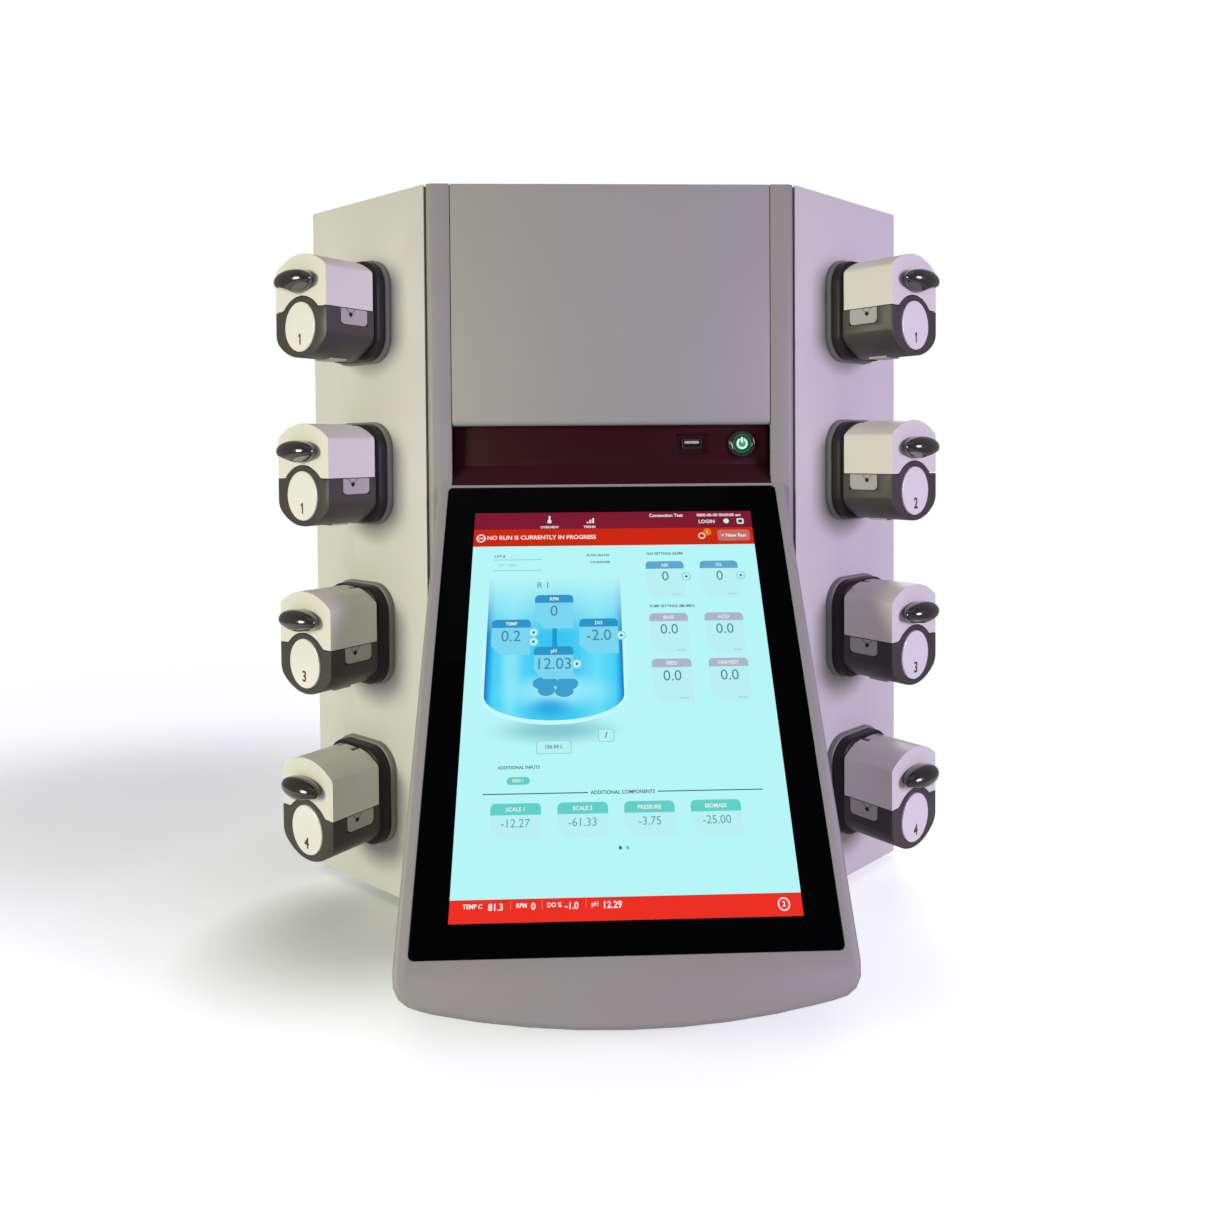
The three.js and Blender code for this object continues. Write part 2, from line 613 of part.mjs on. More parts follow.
function bodyOutline() {
  const top = LID_LINE - LID_GAP / 2;
  const centre = BODY_CROWN - BODY_BOTTOM;
  const side = centre - Math.sqrt(BODY_CROWN ** 2 - PUMP_HALF ** 2);
  const reach = PUMP_HALF - BODY_CORNER;
  const low = centre - Math.sqrt(BODY_CROWN ** 2 - reach ** 2);
  const angle = Math.asin(reach / BODY_CROWN);
  const shape = new THREE.Shape();
  shape.moveTo(PUMP_HALF, top);
  shape.lineTo(-PUMP_HALF, top);
  shape.lineTo(-PUMP_HALF, side + BODY_CORNER);
  shape.quadraticCurveTo(-PUMP_HALF, side, -reach, low);
  shape.absarc(0, centre, BODY_CROWN, -Math.PI / 2 - angle, -Math.PI / 2 + angle);
  shape.quadraticCurveTo(PUMP_HALF, side, PUMP_HALF, side + BODY_CORNER);
  return shape;
}

// The arch that rises round the badge, closed below the lid line.
function bellOutline(grow) {
  const radius = BELL_RADIUS + grow;
  const centre = BELL_TOP - BELL_RADIUS;
  const side = centre + Math.sqrt(radius * radius - BELL_HALF ** 2);
  const angle = Math.asin(BELL_HALF / radius);
  const line = LID_LINE - LID_GAP / 2 + grow;
  const shape = new THREE.Shape();
  shape.moveTo(-BELL_FOOT, 0);
  shape.lineTo(BELL_FOOT, 0);
  shape.lineTo(BELL_FOOT, line);
  shape.quadraticCurveTo(BELL_HALF + 2.5, line, BELL_HALF, side);
  shape.absarc(0, centre, radius, Math.PI / 2 - angle, Math.PI / 2 + angle);
  shape.quadraticCurveTo(-BELL_HALF - 2.5, line, -BELL_FOOT, line);
  return shape;
}

function plateOutline(grow) {
  const half = PUMP_HALF + PLATE_GROW + grow;
  return roundedRect(-half, half, -BODY_BOTTOM - grow, LID_TOP + grow,
    PLATE_LOW_R + grow, PLATE_TOP_R + grow);
}

function pumpBody() {
  const plateFront = GASKET_T + PLATE_T;
  const solids = [
    facing(plateOutline(GASKET_RIM), SEAT, GASKET_T),
    facing(plateOutline(0), GASKET_T - 0.5, plateFront),
    facing(bodyOutline(), plateFront - 1, PUMP_OUT),
    facing(bellOutline(0), PUMP_OUT - FRONT_WALL, PUMP_OUT),
    barY(MOTOR_R, -MOTOR_L, GASKET_T),
    barX(PIN_R, -EAR_X - EAR_T, EAR_X + EAR_T, -PIN_OUT, PIN_Z, 12),
    ...[-1, 1].map((i) => ear(i)),
  ];
  const chamberR = ROTOR_R + CHAMBER_GAP;
  const front = PUMP_OUT - FRONT_WALL - CHAMBER_GAP;
  const rear = front - ROTOR_L - 2 * CHAMBER_GAP;
  const chamber = [
    barY(chamberR, rear, front),
    block(-chamberR, chamberR, -front, -rear, 0, 2 * LID_LINE),
  ];
  const notch = polygon([[-NOTCH_OUT - NOTCH_HALF, LID_LINE], [-NOTCH_OUT, LID_LINE - NOTCH_DEPTH],
    [-NOTCH_OUT + NOTCH_HALF, LID_LINE]]);
  const clamps = [-1, 1].map((i) => {
    const x = i * (PUMP_HALF + 1 - CLAMP_SUNK);
    return block(x - 1, x + 1, -CLAMP_OUT, -CLAMP_IN, CLAMP_LOW, 2 * LID_LINE);
  });
  return cut(join(...solids), ...chamber, ...clamps, across(notch, -PUMP_HALF - 1, PUMP_HALF + 1),
    barY(SHAFT_R + RUN, -SHAFT_REACH - 1, PUMP_OUT - 3, 0, 0, 12),
    barY(BADGE_R + SEAT, PUMP_OUT - BADGE_T + BADGE_PROUD - SEAT, PUMP_OUT + 1, 0, 0, 20));
}

// Hinge ear on the back plate.
function ear(side) {
  const x0 = side > 0 ? EAR_X : -EAR_X - EAR_T;
  const plateFront = GASKET_T + PLATE_T;
  return join(barX(EAR_R, x0, x0 + EAR_T, -PIN_OUT, PIN_Z, 12),
    block(x0, x0 + EAR_T, -PIN_OUT, -plateFront + 1, PIN_Z - EAR_R, PIN_Z + EAR_R));
}

function pumpLid() {
  const base = LID_LINE + LID_GAP / 2;
  const rear = GASKET_T + PLATE_T + LID_GAP;
  const inner = PUMP_OUT - LID_WALL;
  const hollow = facing(lidOutline(0, LID_WALL), rear - 1, inner);
  const arch = facing(bellOutline(LID_GAP), inner - 1, PUMP_OUT + 1);
  const trackOut = (PUMP_OUT - FRONT_WALL - CHAMBER_GAP) - CHAMBER_GAP - ROTOR_L / 2;
  const track = cut(block(-PUMP_HALF + 1, PUMP_HALF - 1, -trackOut - TRACK_L / 2, -trackOut + TRACK_L / 2,
    base, TRACK_R + TRACK_BACK), barY(TRACK_R, 0, PUMP_OUT + 5));
  const knuckle = common(facing(lidOutline(0), rear, PIN_OUT + 3.5),
    block(-EAR_X + KNUCKLE_GAP, EAR_X - KNUCKLE_GAP, -PUMP_OUT, 0, PIN_Z - 3, LID_TOP));
  const slots = [-1, 1].map((i) => {
    const middle = i * (EAR_X + EAR_T / 2);
    const half = EAR_T / 2 + KNUCKLE_GAP;
    return block(middle - half, middle + half, -PIN_OUT - 3.5, 0, PIN_Z - 5, LID_TOP + 1);
  });
  return cut(join(cut(facing(lidOutline(base), rear, PUMP_OUT), hollow, arch), track, knuckle),
    ...slots, rearTrim(rear), barX(PIN_R + RUN, -EAR_X, EAR_X, -PIN_OUT, PIN_Z, 12));
}

// What is cut from the lid's upper rear edge so that it turns clear of the back plate.
function rearTrim(rear) {
  const radius = PIN_OUT - rear;
  const corner = block(-PUMP_HALF, PUMP_HALF, -PIN_OUT, 0, PIN_Z, LID_TOP + 1);
  return cut(corner, barX(radius, -PUMP_HALF - 1, PUMP_HALF + 1, -PIN_OUT, PIN_Z, 16));
}

// Thumb tab: a blunt spindle that lies across the lid and stands off its face.
function thumbTab() {
  const profile = Array.from({ length: TAB_STEPS + 1 }, (_, i) => {
    const t = (i / TAB_STEPS) * 2 - 1;
    const full = i > 0 && i < TAB_STEPS ? (1 - t * t) ** 0.7 : 0;
    return new THREE.Vector2(full, t * TAB_HALF);
  });
  const spindle = new THREE.LatheGeometry(profile, 10).rotateZ(Math.PI / 2)
    .scale(1, TAB_OUT, TAB_HIGH).translate(0, -PUMP_OUT - TAB_STANDOFF, TAB_Z);
  return common(spindle, block(-TAB_HALF, TAB_HALF, -PUMP_OUT - 2 * TAB_OUT, -PUMP_OUT - SEAT, 0, LID_TOP));
}

function pumpRotor() {
  const front = PUMP_OUT - FRONT_WALL - 2 * CHAMBER_GAP;
  const rear = front - ROTOR_L;
  const rollers = Array.from({ length: ROLLERS }, (_, i) => {
    const a = (i + 0.5) * (2 * Math.PI / ROLLERS);
    const r = ROTOR_R - ROLLER_R;
    return barY(ROLLER_R, rear + 1, front - 1, r * Math.cos(a), r * Math.sin(a), 8);
  });
  return join(barY(ROTOR_DISC_R, rear, rear + ROTOR_DISC_T, 0, 0, 12),
    barY(ROTOR_DISC_R, front - ROTOR_DISC_T, front, 0, 0, 12),
    barY(6, rear, front, 0, 0, 8), ...rollers, barY(SHAFT_R, -SHAFT_REACH, PUMP_OUT - 3.5, 0, 0, 12));
}

function pumpBadge() {
  const back = PUMP_OUT - BADGE_T + BADGE_PROUD;
  return latheFront([[0, 0], [BADGE_R, 0], [BADGE_R, BADGE_T - 0.5], [BADGE_R - 1, BADGE_T], [0, BADGE_T]],
    0, -back, 0, 20);
}

// ---- materials --------------------------------------------------------------------------------------

function finish(color, roughness, metalness = 0) {
  return { color, roughness, metalness };
}

const PAINT = finish(0xc9c7c2, 0.55);
const BEZEL = finish(0xb4b1ad, 0.55);
const MAROON = finish(0x3a0d18, 0.5);
const LID_GREY = finish(0xcfccc4, 0.5);
const DARK = finish(0x4a4846, 0.6);
const GLOSS = finish(0x2b2423, 0.15);
const BADGE = finish(0xe8e6e2, 0.35);
const BLACK_GLASS = finish(0x050506, 0.08);
const STEEL = finish(0xb8bab8, 0.35, 0.9);
const RUBBER = finish(0x202020, 0.85);
const BOARD_GREEN = finish(0x1d5a34, 0.6);
const LIT = finish(0x9ff5c0, 0.4);

function piece(name, geometry, look) {
  const mesh = new THREE.Mesh(geometry, new THREE.MeshStandardMaterial(look));
  mesh.name = name;
  return mesh;
}

// ---- assembly -----------------------------------------------------------------------------------------

const cabinet = new THREE.Group();
cabinet.add(
  piece('base_plate', upright(insidePlan(), FOOT_H, FOOT_H + BASE_T), STEEL),
  piece('top_cover', upright(insidePlan(), TOP - SHEET, TOP), PAINT),
  piece('left_side_cover', sideCover(-1), PAINT),
  piece('right_side_cover', sideCover(1), PAINT),
  piece('rear_panel', rearPanel(), PAINT),
  piece('front_bezel', frontBezel(), BEZEL),
  piece('upper_panel', upperPanel(), BEZEL),
  piece('recess_panel', recessPanel(), MAROON),
  piece('usb_socket', usbSocket(), STEEL),
  piece('power_switch', powerSwitch(), GLOSS),
  piece('power_button', powerButton(), LIT),
  piece('touch_glass', touchGlass(), BLACK_GLASS),
  piece('display_module', displayModule(), STEEL),
  piece('power_inlet', powerInlet(), RUBBER),
  piece('power_supply', powerSupply(), STEEL),
  piece('controller_board', controllerBoard(), BOARD_GREEN),
);
for (const [name, x, y] of footPlaces()) {
  cabinet.add(piece(`foot_${name}`, foot(x, y), RUBBER));
}

function pump(name, place) {
  const head = new THREE.Group();
  head.position.set(place.x, place.y, place.z);
  head.rotation.z = place.turn;
  head.add(
    piece(`${name}_body`, pumpBody(), DARK),
    piece(`${name}_lid`, pumpLid(), LID_GREY),
    piece(`${name}_tab`, thumbTab(), GLOSS),
    piece(`${name}_rotor`, pumpRotor(), LID_GREY),
    piece(`${name}_badge`, pumpBadge(), BADGE),
  );
  return head;
}

for (const [side, letter] of [[-1, 'left'], [1, 'right']]) {
  pumpPlaces(side).forEach((place, row) => cabinet.add(pump(`pump_${letter}_${row + 1}`, place)));
}

const station = new THREE.Group();
station.add(cabinet);
cabinet.updateMatrixWorld(true);
const extent = new THREE.Box3().setFromObject(cabinet, true);
cabinet.position.set(-(extent.min.x + extent.max.x) / 2, -(extent.min.y + extent.max.y) / 2, -extent.min.z);

export default station;
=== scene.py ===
# %% [markdown]
# # Bench bioreactor control station
#
# The station is a bench cabinet with two angled side covers, four peristaltic pump heads on each,
# and a sloped touchscreen in a moulded wedge. The solids come from the CAD model, so every piece
# made here sits on those solids, in metres, with +Z up and the screen facing -Y.

import json
from math import atan2, cos, pi, radians, sin, sqrt

import bpy
from mathutils import Matrix, Vector

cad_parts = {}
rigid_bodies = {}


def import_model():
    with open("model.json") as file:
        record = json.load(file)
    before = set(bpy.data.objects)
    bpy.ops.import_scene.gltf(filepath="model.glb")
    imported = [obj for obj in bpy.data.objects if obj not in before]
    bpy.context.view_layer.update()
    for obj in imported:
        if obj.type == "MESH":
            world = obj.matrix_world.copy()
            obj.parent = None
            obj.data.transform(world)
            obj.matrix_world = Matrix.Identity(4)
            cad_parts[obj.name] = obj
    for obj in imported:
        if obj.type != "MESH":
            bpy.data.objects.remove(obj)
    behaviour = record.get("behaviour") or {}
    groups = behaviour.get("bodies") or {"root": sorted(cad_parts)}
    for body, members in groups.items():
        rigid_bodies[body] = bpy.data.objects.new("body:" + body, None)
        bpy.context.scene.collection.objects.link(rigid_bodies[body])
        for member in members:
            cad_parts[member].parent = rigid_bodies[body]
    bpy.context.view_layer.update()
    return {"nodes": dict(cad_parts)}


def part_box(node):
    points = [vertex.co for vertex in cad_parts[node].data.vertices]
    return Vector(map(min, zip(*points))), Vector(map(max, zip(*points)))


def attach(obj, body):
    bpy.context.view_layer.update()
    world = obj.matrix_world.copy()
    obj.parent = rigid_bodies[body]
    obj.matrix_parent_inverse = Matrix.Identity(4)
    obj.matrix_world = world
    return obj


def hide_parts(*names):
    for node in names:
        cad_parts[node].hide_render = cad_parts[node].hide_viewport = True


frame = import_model()
NODES = frame["nodes"]

# %% [markdown]
# ## Sizes
#
# Lengths are written in millimetres, as a drawing would have them, and turned into metres when a
# piece is made. The front plane is the face of the upper panel. Each pump has its own small frame:
# X across the pump, -Y outwards, Z up, with the rotor's axis through the origin.

# %% Sizes and frames
MM = 0.001
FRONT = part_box("upper_panel")[0].y / MM
TOP = 504.0
PUMP_ROWS = 4
SIDE_ANGLE = 39.0
COVER_X = 127.0
COVER_Y = 1.6
PUMP_ALONG = 67.15
PUMP_TOP_Z = TOP - 95.9
PUMP_PITCH = 115.0
TILT = 55.0
DISPLAY_W = 184.3
DISPLAY_H = 245.8
HOUSING_ABOVE = 22.3
EDGE_AHEAD = 1.0
EDGE_Z = 299.55
SCREEN_UP = DISPLAY_H / 2 + HOUSING_ABOVE
SCREEN_Y = -EDGE_AHEAD - SCREEN_UP * cos(radians(TILT))
SCREEN_Z = EDGE_Z - SCREEN_UP * sin(radians(TILT))


def pump_matrix(side, row):
    """Where a pump's own frame stands: side is -1 for left and 1 for right, row 0 is the top one."""
    turn = radians(side * SIDE_ANGLE)
    x = side * (COVER_X + PUMP_ALONG * cos(radians(SIDE_ANGLE)))
    y = COVER_Y + PUMP_ALONG * sin(radians(SIDE_ANGLE)) + FRONT
    place = Vector((x, y, PUMP_TOP_Z - row * PUMP_PITCH)) * MM
    return Matrix.Translation(place) @ Matrix.Rotation(turn, 4, "Z")


SCREEN_PLACE = Vector((0, SCREEN_Y + FRONT, SCREEN_Z)) * MM
SCREEN = Matrix.Translation(SCREEN_PLACE) @ Matrix.Rotation(radians(TILT), 4, "X")
PUMPS = [(label, side, row) for label, side in (("left", -1), ("right", 1)) for row in range(PUMP_ROWS)]
print("pumps:", len(PUMPS), "front plane at", round(FRONT, 2), "mm")

# %% [markdown]
# ## Finishes
#
# Each finish is a procedural material. Three effects are shared node groups: a fine moulded or
# sprayed texture, a faint unevenness of colour, and a soft oval spot.

# %% Shared shader groups
MIX_A, MIX_B, MIXED = 6, 7, 2  # the Mix node's sockets for colours
MOTTLE_SCALE = 14.0
GRAIN_SCALE = 2500.0


def feed(node, values):
    """Gives a node's inputs their values, or links them where the value is another node's output."""
    for socket, value in values.items():
        if isinstance(value, bpy.types.NodeSocket):
            node.id_data.links.new(value, node.inputs[socket])
        else:
            node.inputs[socket].default_value = value
    return node


def add_node(tree, kind, values=(), **settings):
    """A shader node with its settings and its inputs."""
    made = tree.nodes.new(f"ShaderNode{kind}")
    for setting, choice in settings.items():
        setattr(made, setting, choice)
    return feed(made, dict(values))


def object_place(tree):
    return add_node(tree, "TexCoord").outputs["Object"]


def blend(tree, weight, first, second):
    """Mixes two colours, each a value or an output."""
    mix = add_node(tree, "Mix", {0: weight, MIX_A: first, MIX_B: second}, data_type="RGBA")
    return mix.outputs[MIXED]


def new_group(name, inputs, outputs):
    """An empty shader group with named sockets. Inputs are (name, type, value)."""
    group = bpy.data.node_groups.new(name, "ShaderNodeTree")
    for label, kind, value in inputs:
        socket = group.interface.new_socket(name=label, in_out="INPUT", socket_type=kind)
        if value is not None:
            socket.default_value = value
    for label, kind in outputs:
        group.interface.new_socket(name=label, in_out="OUTPUT", socket_type=kind)
    return group, group.nodes.new("NodeGroupInput"), group.nodes.new("NodeGroupOutput")


def grain_group():
    """Fine raised texture of spray paint or an etched mould, as a normal."""
    group, given, out = new_group(
        "FineGrain",
        [("Scale", "NodeSocketFloat", GRAIN_SCALE), ("Height", "NodeSocketFloat", 0.1)],
        [("Normal", "NodeSocketVector")],
    )
    noise = add_node(group, "TexNoise", {
        "Vector": object_place(group), "Scale": given.outputs["Scale"], "Detail": 3.0,
    })
    bump = add_node(group, "Bump", {
        "Height": noise.outputs[0], "Strength": given.outputs["Height"], "Distance": 0.2 * MM,
    })
    feed(out, {"Normal": bump.outputs["Normal"]})
    return group


def mottle_group():
    """A colour with a faint cloudy unevenness, from large soft noise."""
    group, given, out = new_group(
        "FaintMottle",
        [
            ("Light", "NodeSocketColor", None),
            ("Dark", "NodeSocketColor", None),
            ("Scale", "NodeSocketFloat", MOTTLE_SCALE),
        ],
        [("Color", "NodeSocketColor")],
    )
    noise = add_node(group, "TexNoise", {
        "Vector": object_place(group), "Scale": given.outputs["Scale"], "Detail": 4.0,
    })
    feed(out, {"Color": blend(group, noise.outputs[0], given.outputs["Light"], given.outputs["Dark"])})
    return group


def spot_group():
    """A mask that is 1 in the middle of an oval and fades softly to 0 at its edge."""
    group, given, out = new_group(
        "SoftSpot",
        [("Centre", "NodeSocketVector", None), ("Per Reach", "NodeSocketVector", None)],
        [("Value", "NodeSocketFloat")],
    )
    away = object_place(group)
    for operation, name in (("SUBTRACT", "Centre"), ("MULTIPLY", "Per Reach")):
        step = add_node(group, "VectorMath", {0: away, 1: given.outputs[name]}, operation=operation)
        away = step.outputs["Vector"]
    length = add_node(group, "VectorMath", {0: away}, operation="LENGTH").outputs["Value"]
    edge = {"Value": length, "From Min": 0.15, "To Min": 1.0, "To Max": 0.0}
    fade = add_node(group, "MapRange", edge, interpolation_type="SMOOTHSTEP")
    feed(out, {"Value": fade.outputs["Result"]})
    return group


GRAIN = grain_group()
MOTTLE = mottle_group()
SPOT = spot_group()
print("groups:", GRAIN.name, MOTTLE.name, SPOT.name)

# %% Materials


def new_material(name, values):
    """A Principled material with some of its values; returns it with its tree and its shader."""
    material = bpy.data.materials.new(name)
    material.use_nodes = True
    tree = material.node_tree
    return material, tree, feed(tree.nodes["Principled BSDF"], values)


def surface(name, color, roughness, metallic=0.0, grain=0.0, grain_scale=GRAIN_SCALE, coat=0.0, shine=0.5):
    """A finish with faint mottle and, if asked, a fine grain."""
    material, tree, shader = new_material(name, {
        "Roughness": roughness, "Metallic": metallic, "Coat Weight": coat, "Specular IOR Level": shine,
    })
    light = (*[min(1.0, part * 1.03) for part in color], 1)
    dark = (*[part * 0.97 for part in color], 1)
    shades = {"Light": light, "Dark": dark, "Scale": MOTTLE_SCALE}
    mottle = add_node(tree, "Group", shades, node_tree=MOTTLE)
    feed(shader, {"Base Color": mottle.outputs["Color"]})
    if grain:
        texture = add_node(tree, "Group", {"Scale": grain_scale, "Height": grain}, node_tree=GRAIN)
        feed(shader, {"Normal": texture.outputs["Normal"]})
    return material


def glowing(name, color, strength=1.0):
    """A lit colour of the display or of a lamp behind a symbol; returns it, its tree and its shader."""
    return new_material(name, {
        "Base Color": (0.0, 0.0, 0.0, 1), "Specular IOR Level": 0.0, "Roughness": 0.6,
        "Emission Color": (*color, 1), "Emission Strength": strength,
    })


# for each finish its colour, its roughness, and what else sets it apart
SURFACES = {
    "cover_paint": ((0.62, 0.61, 0.585), 0.55, {"grain": 0.25}),
    "bezel_plastic": ((0.29, 0.28, 0.275), 0.5, {"grain": 0.3, "grain_scale": 3200.0}),
    "panel_plastic": ((0.32, 0.315, 0.31), 0.5, {"grain": 0.25}),
    "recess_plastic": ((0.030, 0.0035, 0.0075), 0.42, {"grain": 0.15, "shine": 0.12}),
    "plated_steel": ((0.6, 0.6, 0.58), 0.25, {"metallic": 1.0}),
    # painted shade: the port's steel made dark, as it looks in the shade inside the port
    "shaded_socket_steel": ((0.16, 0.155, 0.15), 0.35, {"metallic": 1.0}),
    "switch_plastic": ((0.020, 0.016, 0.017), 0.16, {"coat": 1.0}),
    "button_plastic": ((0.008, 0.020, 0.014), 0.2, {}),
    "black_glass": ((0.0008, 0.0008, 0.0012), 0.06, {"shine": 0.03}),
    "display_case": ((0.45, 0.45, 0.45), 0.4, {"metallic": 1.0}),
    "inlet_plastic": ((0.012, 0.012, 0.012), 0.45, {"grain": 0.1}),
    "supply_case": ((0.6, 0.6, 0.61), 0.4, {"metallic": 1.0}),
    "circuit_board": ((0.01, 0.09, 0.03), 0.45, {}),
    "sheet_steel": ((0.5, 0.51, 0.51), 0.45, {"metallic": 0.9, "grain": 0.1}),
    "foot_rubber": ((0.012, 0.012, 0.012), 0.85, {"grain": 0.2}),
    "pump_body_plastic": ((0.052, 0.046, 0.042), 0.42, {"grain": 0.2, "shine": 0.35}),
    "pump_lid_plastic": ((0.72, 0.705, 0.655), 0.42, {"grain": 0.12}),
    "tab_plastic": ((0.020, 0.015, 0.014), 0.18, {"coat": 1.0}),
    "rotor_plastic": ((0.6, 0.59, 0.55), 0.3, {}),
    "badge_plastic": ((0.80, 0.79, 0.765), 0.18, {"coat": 0.5}),
    # painted shade: the cover's inner flange at the back of the groove, as dark as its shadow makes it look
    "painted_groove_shade": ((0.16, 0.165, 0.15), 0.6, {}),
    "gasket_plastic": ((0.22, 0.218, 0.205), 0.5, {}),
    "plate_plastic": ((0.020, 0.0175, 0.018), 0.42, {"grain": 0.2, "shine": 0.2}),
    "clamp_plastic": ((0.42, 0.41, 0.385), 0.4, {}),
    "shadow_gap": ((0.004, 0.004, 0.004), 0.8, {}),
    "maroon_print": ((0.09, 0.012, 0.016), 0.4, {}),
}
FINISH = {}
for name, (color, roughness, extra) in SURFACES.items():
    FINISH[name] = surface(name, color, roughness, **extra)
print("finishes:", len(FINISH))

# %% [markdown]
# ## CAD solids that stay visible
#
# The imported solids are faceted, and their faces come apart at every edge. A weld joins them, a
# planar clean-up turns the triangles back into whole faces, and a small bevel gives each edge the
# little radius that a mould or a folded sheet always leaves. The solids themselves aren't changed.

# %% Dress the CAD solids
WELD_WITHIN = 0.02


def paint(piece, material):
    """Gives a piece one material in place of what it has."""
    piece.data.materials.clear()
    piece.data.materials.append(material)


def dress(node, finish, radius=0.0):
    """Finish and softened edges for a CAD solid."""
    paint(node, FINISH[finish])
    for face in node.data.polygons:
        face.use_smooth = True
    weld = node.modifiers.new("weld", "WELD")
    weld.merge_threshold = WELD_WITHIN * MM
    flat = node.modifiers.new("whole_faces", "DECIMATE")
    flat.decimate_type = "DISSOLVE"
    flat.angle_limit = radians(1.0)
    if radius:
        bevel = node.modifiers.new("edge_radius", "BEVEL")
        bevel.width = radius * MM
        bevel.segments = 2
        bevel.limit_method = "ANGLE"
        bevel.angle_limit = radians(35)
    split = node.modifiers.new("sharp_edges", "EDGE_SPLIT")
    split.split_angle = radians(32)


LOOKS = {
    "base_plate": ("sheet_steel", 0.3),
    "top_cover": ("cover_paint", 0.5),
    "left_side_cover": ("cover_paint", 1.45),
    "right_side_cover": ("cover_paint", 1.45),
    "rear_panel": ("cover_paint", 0.4),
    "front_bezel": ("bezel_plastic", 1.4),
    "upper_panel": ("panel_plastic", 0.6),
    "recess_panel": ("recess_plastic", 0.4),
    # the socket's steel carries painted shade of the port's inside
    "usb_socket": ("shaded_socket_steel", 0.15),
    "power_switch": ("switch_plastic", 0.6),
    "power_button": ("button_plastic", 0.0),
    "touch_glass": ("black_glass", 0.25),
    "display_module": ("display_case", 0.3),
    "power_inlet": ("inlet_plastic", 0.4),
    "power_supply": ("supply_case", 0.4),
    "controller_board": ("circuit_board", 0.1),
}
PUMP_LOOKS = {
    "body": ("pump_body_plastic", 0.7),
    "lid": ("pump_lid_plastic", 0.8),
    "tab": ("tab_plastic", 0.0),
    "rotor": ("rotor_plastic", 0.3),
    "badge": ("badge_plastic", 0.3),
}
for name, (finish, radius) in LOOKS.items():
    dress(NODES[name], finish, radius)
for corner in ("front_left", "front_right", "rear_left", "rear_right"):
    dress(NODES[f"foot_{corner}"], "foot_rubber", 0.8)
for label, side, row in PUMPS:
    for part, (finish, radius) in PUMP_LOOKS.items():
        dress(NODES[f"pump_{label}_{row + 1}_{part}"], finish, radius)
print("dressed:", len(NODES))

# %% [markdown]
# ## Modelling helpers
#
# The pump heads are made again here with finer curves than the CAD solids have. Each shape starts
# as a block or a round bar at its real size, is cut or joined with another one, and then has its
# edges rounded, which is how the moulds for such parts are designed too.

# %% Helpers


def select_none():
    bpy.ops.object.select_all(action="DESELECT")


def focus(piece):
    """Selects one piece alone and makes it the active one."""
    select_none()
    piece.select_set(True)
    bpy.context.view_layer.objects.active = piece


def block(name, low, high):
    """A box between two corners, in millimetres."""
    low, high = Vector(low) * MM, Vector(high) * MM
    select_none()
    bpy.ops.mesh.primitive_cube_add(size=1, location=(low + high) / 2, scale=high - low)
    bpy.ops.object.transform_apply(location=True, rotation=False, scale=True)
    bpy.context.object.name = name
    return bpy.context.object


def bar(name, radius, out0, out1, x=0.0, z=0.0, sides=128, turn=(pi / 2, 0, 0)):
    """A round bar along Y between two distances in front of the cover."""
    select_none()
    middle = Vector((x, -(out0 + out1) / 2, z)) * MM
    bpy.ops.mesh.primitive_cylinder_add(
        vertices=sides, radius=radius * MM, depth=(out1 - out0) * MM, location=middle, rotation=turn
    )
    bpy.ops.object.transform_apply(location=True, rotation=True, scale=True)
    bpy.context.object.name = name
    return bpy.context.object


def combine(piece, tool, how):
    """Joins, cuts or keeps the common part of two solids, and removes the second."""
    focus(piece)
    modifier = piece.modifiers.new(how.lower(), "BOOLEAN")
    modifier.operation = how
    modifier.solver = "EXACT"
    modifier.object = tool
    bpy.ops.object.modifier_apply(modifier=modifier.name)
    bpy.data.objects.remove(tool, do_unlink=True)
    return piece


def set_down(piece, shift, turn=(0, 0, 0)):
    """Turns a piece that was made at the origin and moves it to its place, in millimetres."""
    focus(piece)
    piece.rotation_euler = turn
    piece.location = Vector(shift) * MM
    bpy.ops.object.transform_apply(location=True, rotation=True, scale=True)
    return piece


def round_edges(piece, width, segments, pick):
    """Rounds the edges that pick chooses by their middle point and direction, in millimetres."""
    focus(piece)
    bpy.ops.object.mode_set(mode="EDIT")
    bpy.ops.mesh.select_mode(type="EDGE")
    bpy.ops.mesh.select_all(action="DESELECT")
    bpy.ops.object.mode_set(mode="OBJECT")
    points = [v.co / MM for v in piece.data.vertices]
    for edge in piece.data.edges:
        a, b = (points[i] for i in edge.vertices)
        edge.select = pick((a + b) / 2, (b - a).normalized())
    bpy.ops.object.mode_set(mode="EDIT")
    bpy.ops.mesh.bevel(offset=width * MM, segments=segments, clamp_overlap=True)
    bpy.ops.object.mode_set(mode="OBJECT")
    return piece


def clean(piece, angle=35):
    """Merges doubled points, turns the faces outwards and smooths them."""
    focus(piece)
    bpy.ops.object.mode_set(mode="EDIT")
    bpy.ops.mesh.select_all(action="SELECT")
    bpy.ops.mesh.remove_doubles(threshold=0.005 * MM)
    bpy.ops.mesh.normals_make_consistent(inside=False)
    bpy.ops.object.mode_set(mode="OBJECT")
    bpy.ops.object.shade_smooth_by_angle(angle=radians(angle))


def tidy(piece, finish, angle=35):
    """Cleans a finished shape and gives it its finish."""
    clean(piece, angle)
    paint(piece, FINISH[finish])
    return piece


def join_pieces(name, parts):
    """Makes one object of several, which keep their own finishes."""
    select_none()
    for part in parts:
        part.select_set(True)
    bpy.context.view_layer.objects.active = parts[0]
    bpy.ops.object.join()
    bpy.context.object.name = name
    return bpy.context.object


